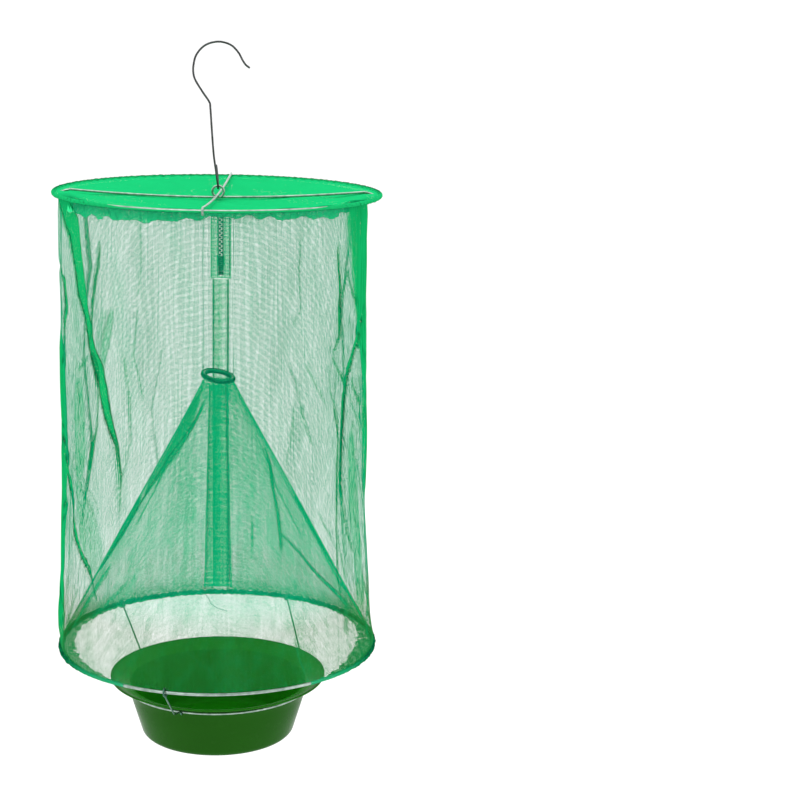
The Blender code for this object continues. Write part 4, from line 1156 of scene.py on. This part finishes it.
def hangers():
    """Each wire is coiled round the lower hoop's hem and hooked round the bowl's hoop."""
    coil_r = HEM_OUTER_R + GAP + HANGER_WIRE_R
    hook_r = BOWL_HOOP_WIRE_R + GAP + HANGER_WIRE_R
    coil_turns, coil_steps, hook_steps = 1.25, 40, 16
    coil_length = (2 * HANGER_WIRE_R + GAP) * coil_turns
    for side, angles in HANGER_ANGLES.items():
        out, low_out = (outward(math.radians(angle)) for angle in angles)
        along = Vector((-out.y, out.x, 0))
        route = []
        for step in range(coil_steps + 1):
            turn = math.radians(150) + coil_turns * TURN * step / coil_steps
            place = out * (HOOP_R + coil_r * math.cos(turn))
            place += along * coil_length * (1 - step / coil_steps)
            route.append(place + UP * (BASE_Z + coil_r * math.sin(turn)))
        knee = low_out * (BOWL_R + 3.0 * MM) + UP * (BOWL_RIM_Z - 3.4 * MM)
        route += [route[-1].lerp(knee, share) for share in (0.3, 0.6, 0.85, 1)]
        for step in range(hook_steps + 1):
            turn = math.radians(20 - 160 * step / hook_steps)
            place = low_out * (BOWL_HOOP_R + hook_r * math.cos(turn))
            route.append(place + UP * (BOWL_HOOP_Z + hook_r * math.sin(turn)))
        made = tube(f"hanger_{side}", route, HANGER_WIRE_R, HANGER_WIRE, sides=10)
        stand_for(made, f"hanger_wire_{side}")


def arc_points(r, z, radius, start, end, steps):
    """Points (r, z) round part of a circle, from start to end degrees."""
    turns = np.radians(np.linspace(start, end, steps))
    return [(r + radius * math.cos(t), z + radius * math.sin(t)) for t in turns]


def bowl_profile():
    """The outside and the inside, in millimetres from the foot's level: a flat foot with a ring
    under it, straight sides, a step and a sloping lip."""
    wall, foot_r, neck_r, lip_h = 1.2, 54.5, 63, 6.5
    lip_r, rim = BOWL_R / MM, (BOWL_RIM_Z - BOWL_BASE_Z) / MM
    neck = rim - lip_h
    outside = [
        (0.0, 1.0), (38, 1.0), *arc_points(39.2, 0.8, 0.8, 190, 270, 4),
        *arc_points(41.4, 0.8, 0.8, 270, 350, 4), (43.4, 0.9),
        *arc_points(foot_r - 6, 6.4, 6, -70, -12, 8),
        (neck_r - 1.6, neck - 9), (neck_r - 0.4, neck - 1.2),
        (neck_r + 0.4, neck), (neck_r + 1.6, neck + 0.6),
        (lip_r - 3.5, rim - 2.2), (lip_r - 1.2, rim - 1.3),
        *arc_points(lip_r - 0.7, rim - 0.7, 0.7, -70, 110, 8),
    ]
    inside = [
        (lip_r - 2.6, rim - 0.55), (lip_r - 6, rim - 1.8),
        (neck_r + 1.0, neck + 2.0), (neck_r - 0.8, neck + 1.0),
        (neck_r - wall - 0.4, neck - 1.2), *arc_points(foot_r - 6.4, 6.8, 5.6, -8, -80, 8),
        (30, wall + 0.5), (4, wall + 0.4), (0.0, wall + 0.7),
    ]
    return outside, inside, BOWL_BASE_Z + neck * MM


def bait_bowl():
    """A moulded bowl, turned from its profile; its lip and its inside are lighter, lit copies of the
    plastic, a painted light.
    """
    outside, inside, neck_z = bowl_profile()
    segments = 160
    vertices = []
    rings = []
    for r, z in outside + inside:
        around = 1 if r == 0.0 else segments
        rings.append(range(len(vertices), len(vertices) + around))
        for i in range(around):
            vertices.append(outward(TURN * i / segments) * r * MM + UP * (BOWL_BASE_Z + z * MM))
    faces = []
    for first, after in zip(rings, rings[1:]):
        for i in range(segments):
            k = (i + 1) % segments
            if len(first) == 1:
                faces.append((first[0], after[k], after[i]))
            elif len(after) == 1:
                faces.append((first[i], first[k], after[0]))
            else:
                faces.append((first[i], first[k], after[k], after[i]))
    mesh = bpy.data.meshes.new("bowl_shell")
    mesh.from_pydata(vertices, [], faces)
    bm = bmesh.new()
    bm.from_mesh(mesh)
    bmesh.ops.recalc_face_normals(bm, faces=bm.faces)
    bm.to_mesh(mesh)
    bm.free()
    # painted light: the lip and the inside take lighter, lit copies of the plastic
    for look in (BOWL_PLASTIC, BOWL_LIP_LIT, BOWL_INSIDE_LIT):
        mesh.materials.append(look)
    lip_end = rings[len(outside)][-1]
    for polygon in mesh.polygons:
        lip = polygon.center.z > neck_z + 1 * MM
        polygon.material_index = 2 if max(polygon.vertices) >= lip_end else int(lip)
    mesh.shade_smooth()
    mesh.set_sharp_from_angle(angle=math.radians(40))
    stand_for(placed("bowl_shell", mesh), "bait_bowl")


def loose_thread():
    """A thread end that hangs from the back of the lower hem."""
    places = [
        (-10, 104.5, 0), (-7.5, 104, -3), (-5, 104, -8), (-1, 104, -11), (4, 104, -13), (7, 104, -13.5)
    ]
    route = smooth_route([Vector(place) * MM + UP * BASE_Z for place in places], 1 * MM)
    thread = tube("hem_loose_thread", route, 0.2 * MM, STITCHES, sides=6)
    return join_body(thread, "bottom_frame")


# Meshes of their own for the soft pieces


def fold_up(piece):
    """piece gets its own copy of its mesh."""
    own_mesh(piece)


# The room, the light and the camera


def area_light(name, place, aim, size, power):
    lamp = bpy.data.lights.new(name, "AREA")
    lamp.shape = "DISK"
    lamp.size = size
    lamp.energy = power
    made = placed(name, lamp)
    made.location = place
    made.rotation_euler = (Vector(aim) - Vector(place)).to_track_quat("-Z", "Y").to_euler()


def studio():
    """A white room, darker on the camera's side, with soft lamps and a pale floor."""
    bpy.context.scene.view_settings.view_transform = "Standard"
    world = bpy.data.worlds.new("pale_room")
    world.use_nodes = True
    nodes, links = world.node_tree.nodes, world.node_tree.links
    background = nodes["Background"]
    background.inputs["Color"].default_value = (1.0, 1.0, 1.0, 1.0)
    way = nodes.new("ShaderNodeSeparateXYZ")
    links.new(nodes.new("ShaderNodeTexCoord").outputs["Generated"], way.inputs[0])
    lit = nodes.new("ShaderNodeMapRange")
    lit.interpolation_type = "SMOOTHSTEP"
    for setting, value in (("From Min", -0.9), ("From Max", -0.1), ("To Min", 0.5), ("To Max", 1.3)):
        lit.inputs[setting].default_value = value
    links.new(way.outputs["Y"], lit.inputs["Value"])
    links.new(lit.outputs[0], background.inputs["Strength"])
    bpy.context.scene.world = world
    area_light("key_light", (-0.8, -1.2, 1.4), (0, 0, -0.3), 0.9, 9)
    area_light("fill_light", (1.4, -1.0, 0.2), (0, 0, -0.3), 1.2, 3)
    area_light("top_light", (0.2, 0.2, 1.4), (0, 0, -0.4), 1.0, 5)
    graph = Graph("pale_floor", (0.95, 0.95, 0.95), 0.8, Specular_IOR_Level=0.0)
    shades = ((0.93, 0.93, 0.93), (0.96, 0.96, 0.96))
    graph.drive("Base Color", graph.two_colors(graph.noise(3, 2.0), *shades))
    side, level = 30.0, BOWL_BASE_Z - 0.45
    corners = [(-side, -side), (side, -side), (side, side), (-side, side)]
    mesh = bpy.data.meshes.new("floor")
    mesh.from_pydata([(x, y, level) for x, y in corners], [], [(0, 1, 2, 3)])
    mesh.materials.append(graph.material)
    placed("floor", mesh)


def camera():
    """Just above the rim's level, looking a little down, with the trap left of the middle."""
    aside, down = math.radians(5.34), math.radians(12.263)
    lens = bpy.data.cameras.new("camera")
    lens.sensor_width = 36.0
    lens.lens = 87.95 * math.cos(aside)
    made = placed("camera", lens)
    place = Matrix.Translation((0, -1.3226, RIM_Z + 0.1436))
    tilt = Matrix.Rotation(math.pi / 2 - down, 4, "X") @ Matrix.Rotation(-aside, 4, "Y")
    made.matrix_world = place @ tilt
    bpy.context.scene.camera = made


studio()
camera()
hanging_hook()
eye_crossbar()
plain_crossbar()
hoops()
wall = side_wall()
cone = funnel()
top_cover()
top_edges = [*top_hem(), rim_binding()]
low_edges = [bottom_hem(), hem_frill()]
wall_seam = back_seam()
cone_seam = funnel_seam()
zip_pieces = zip_tapes()
zip_parts()
funnel_tip()
ties = funnel_ties()
hangers()
loose_thread()
bait_bowl()

fold_up(wall)
for piece in wall_seam:
    fold_up(piece)
for piece in (cone, *cone_seam):
    fold_up(piece)
for tie in ties:
    fold_up(tie)
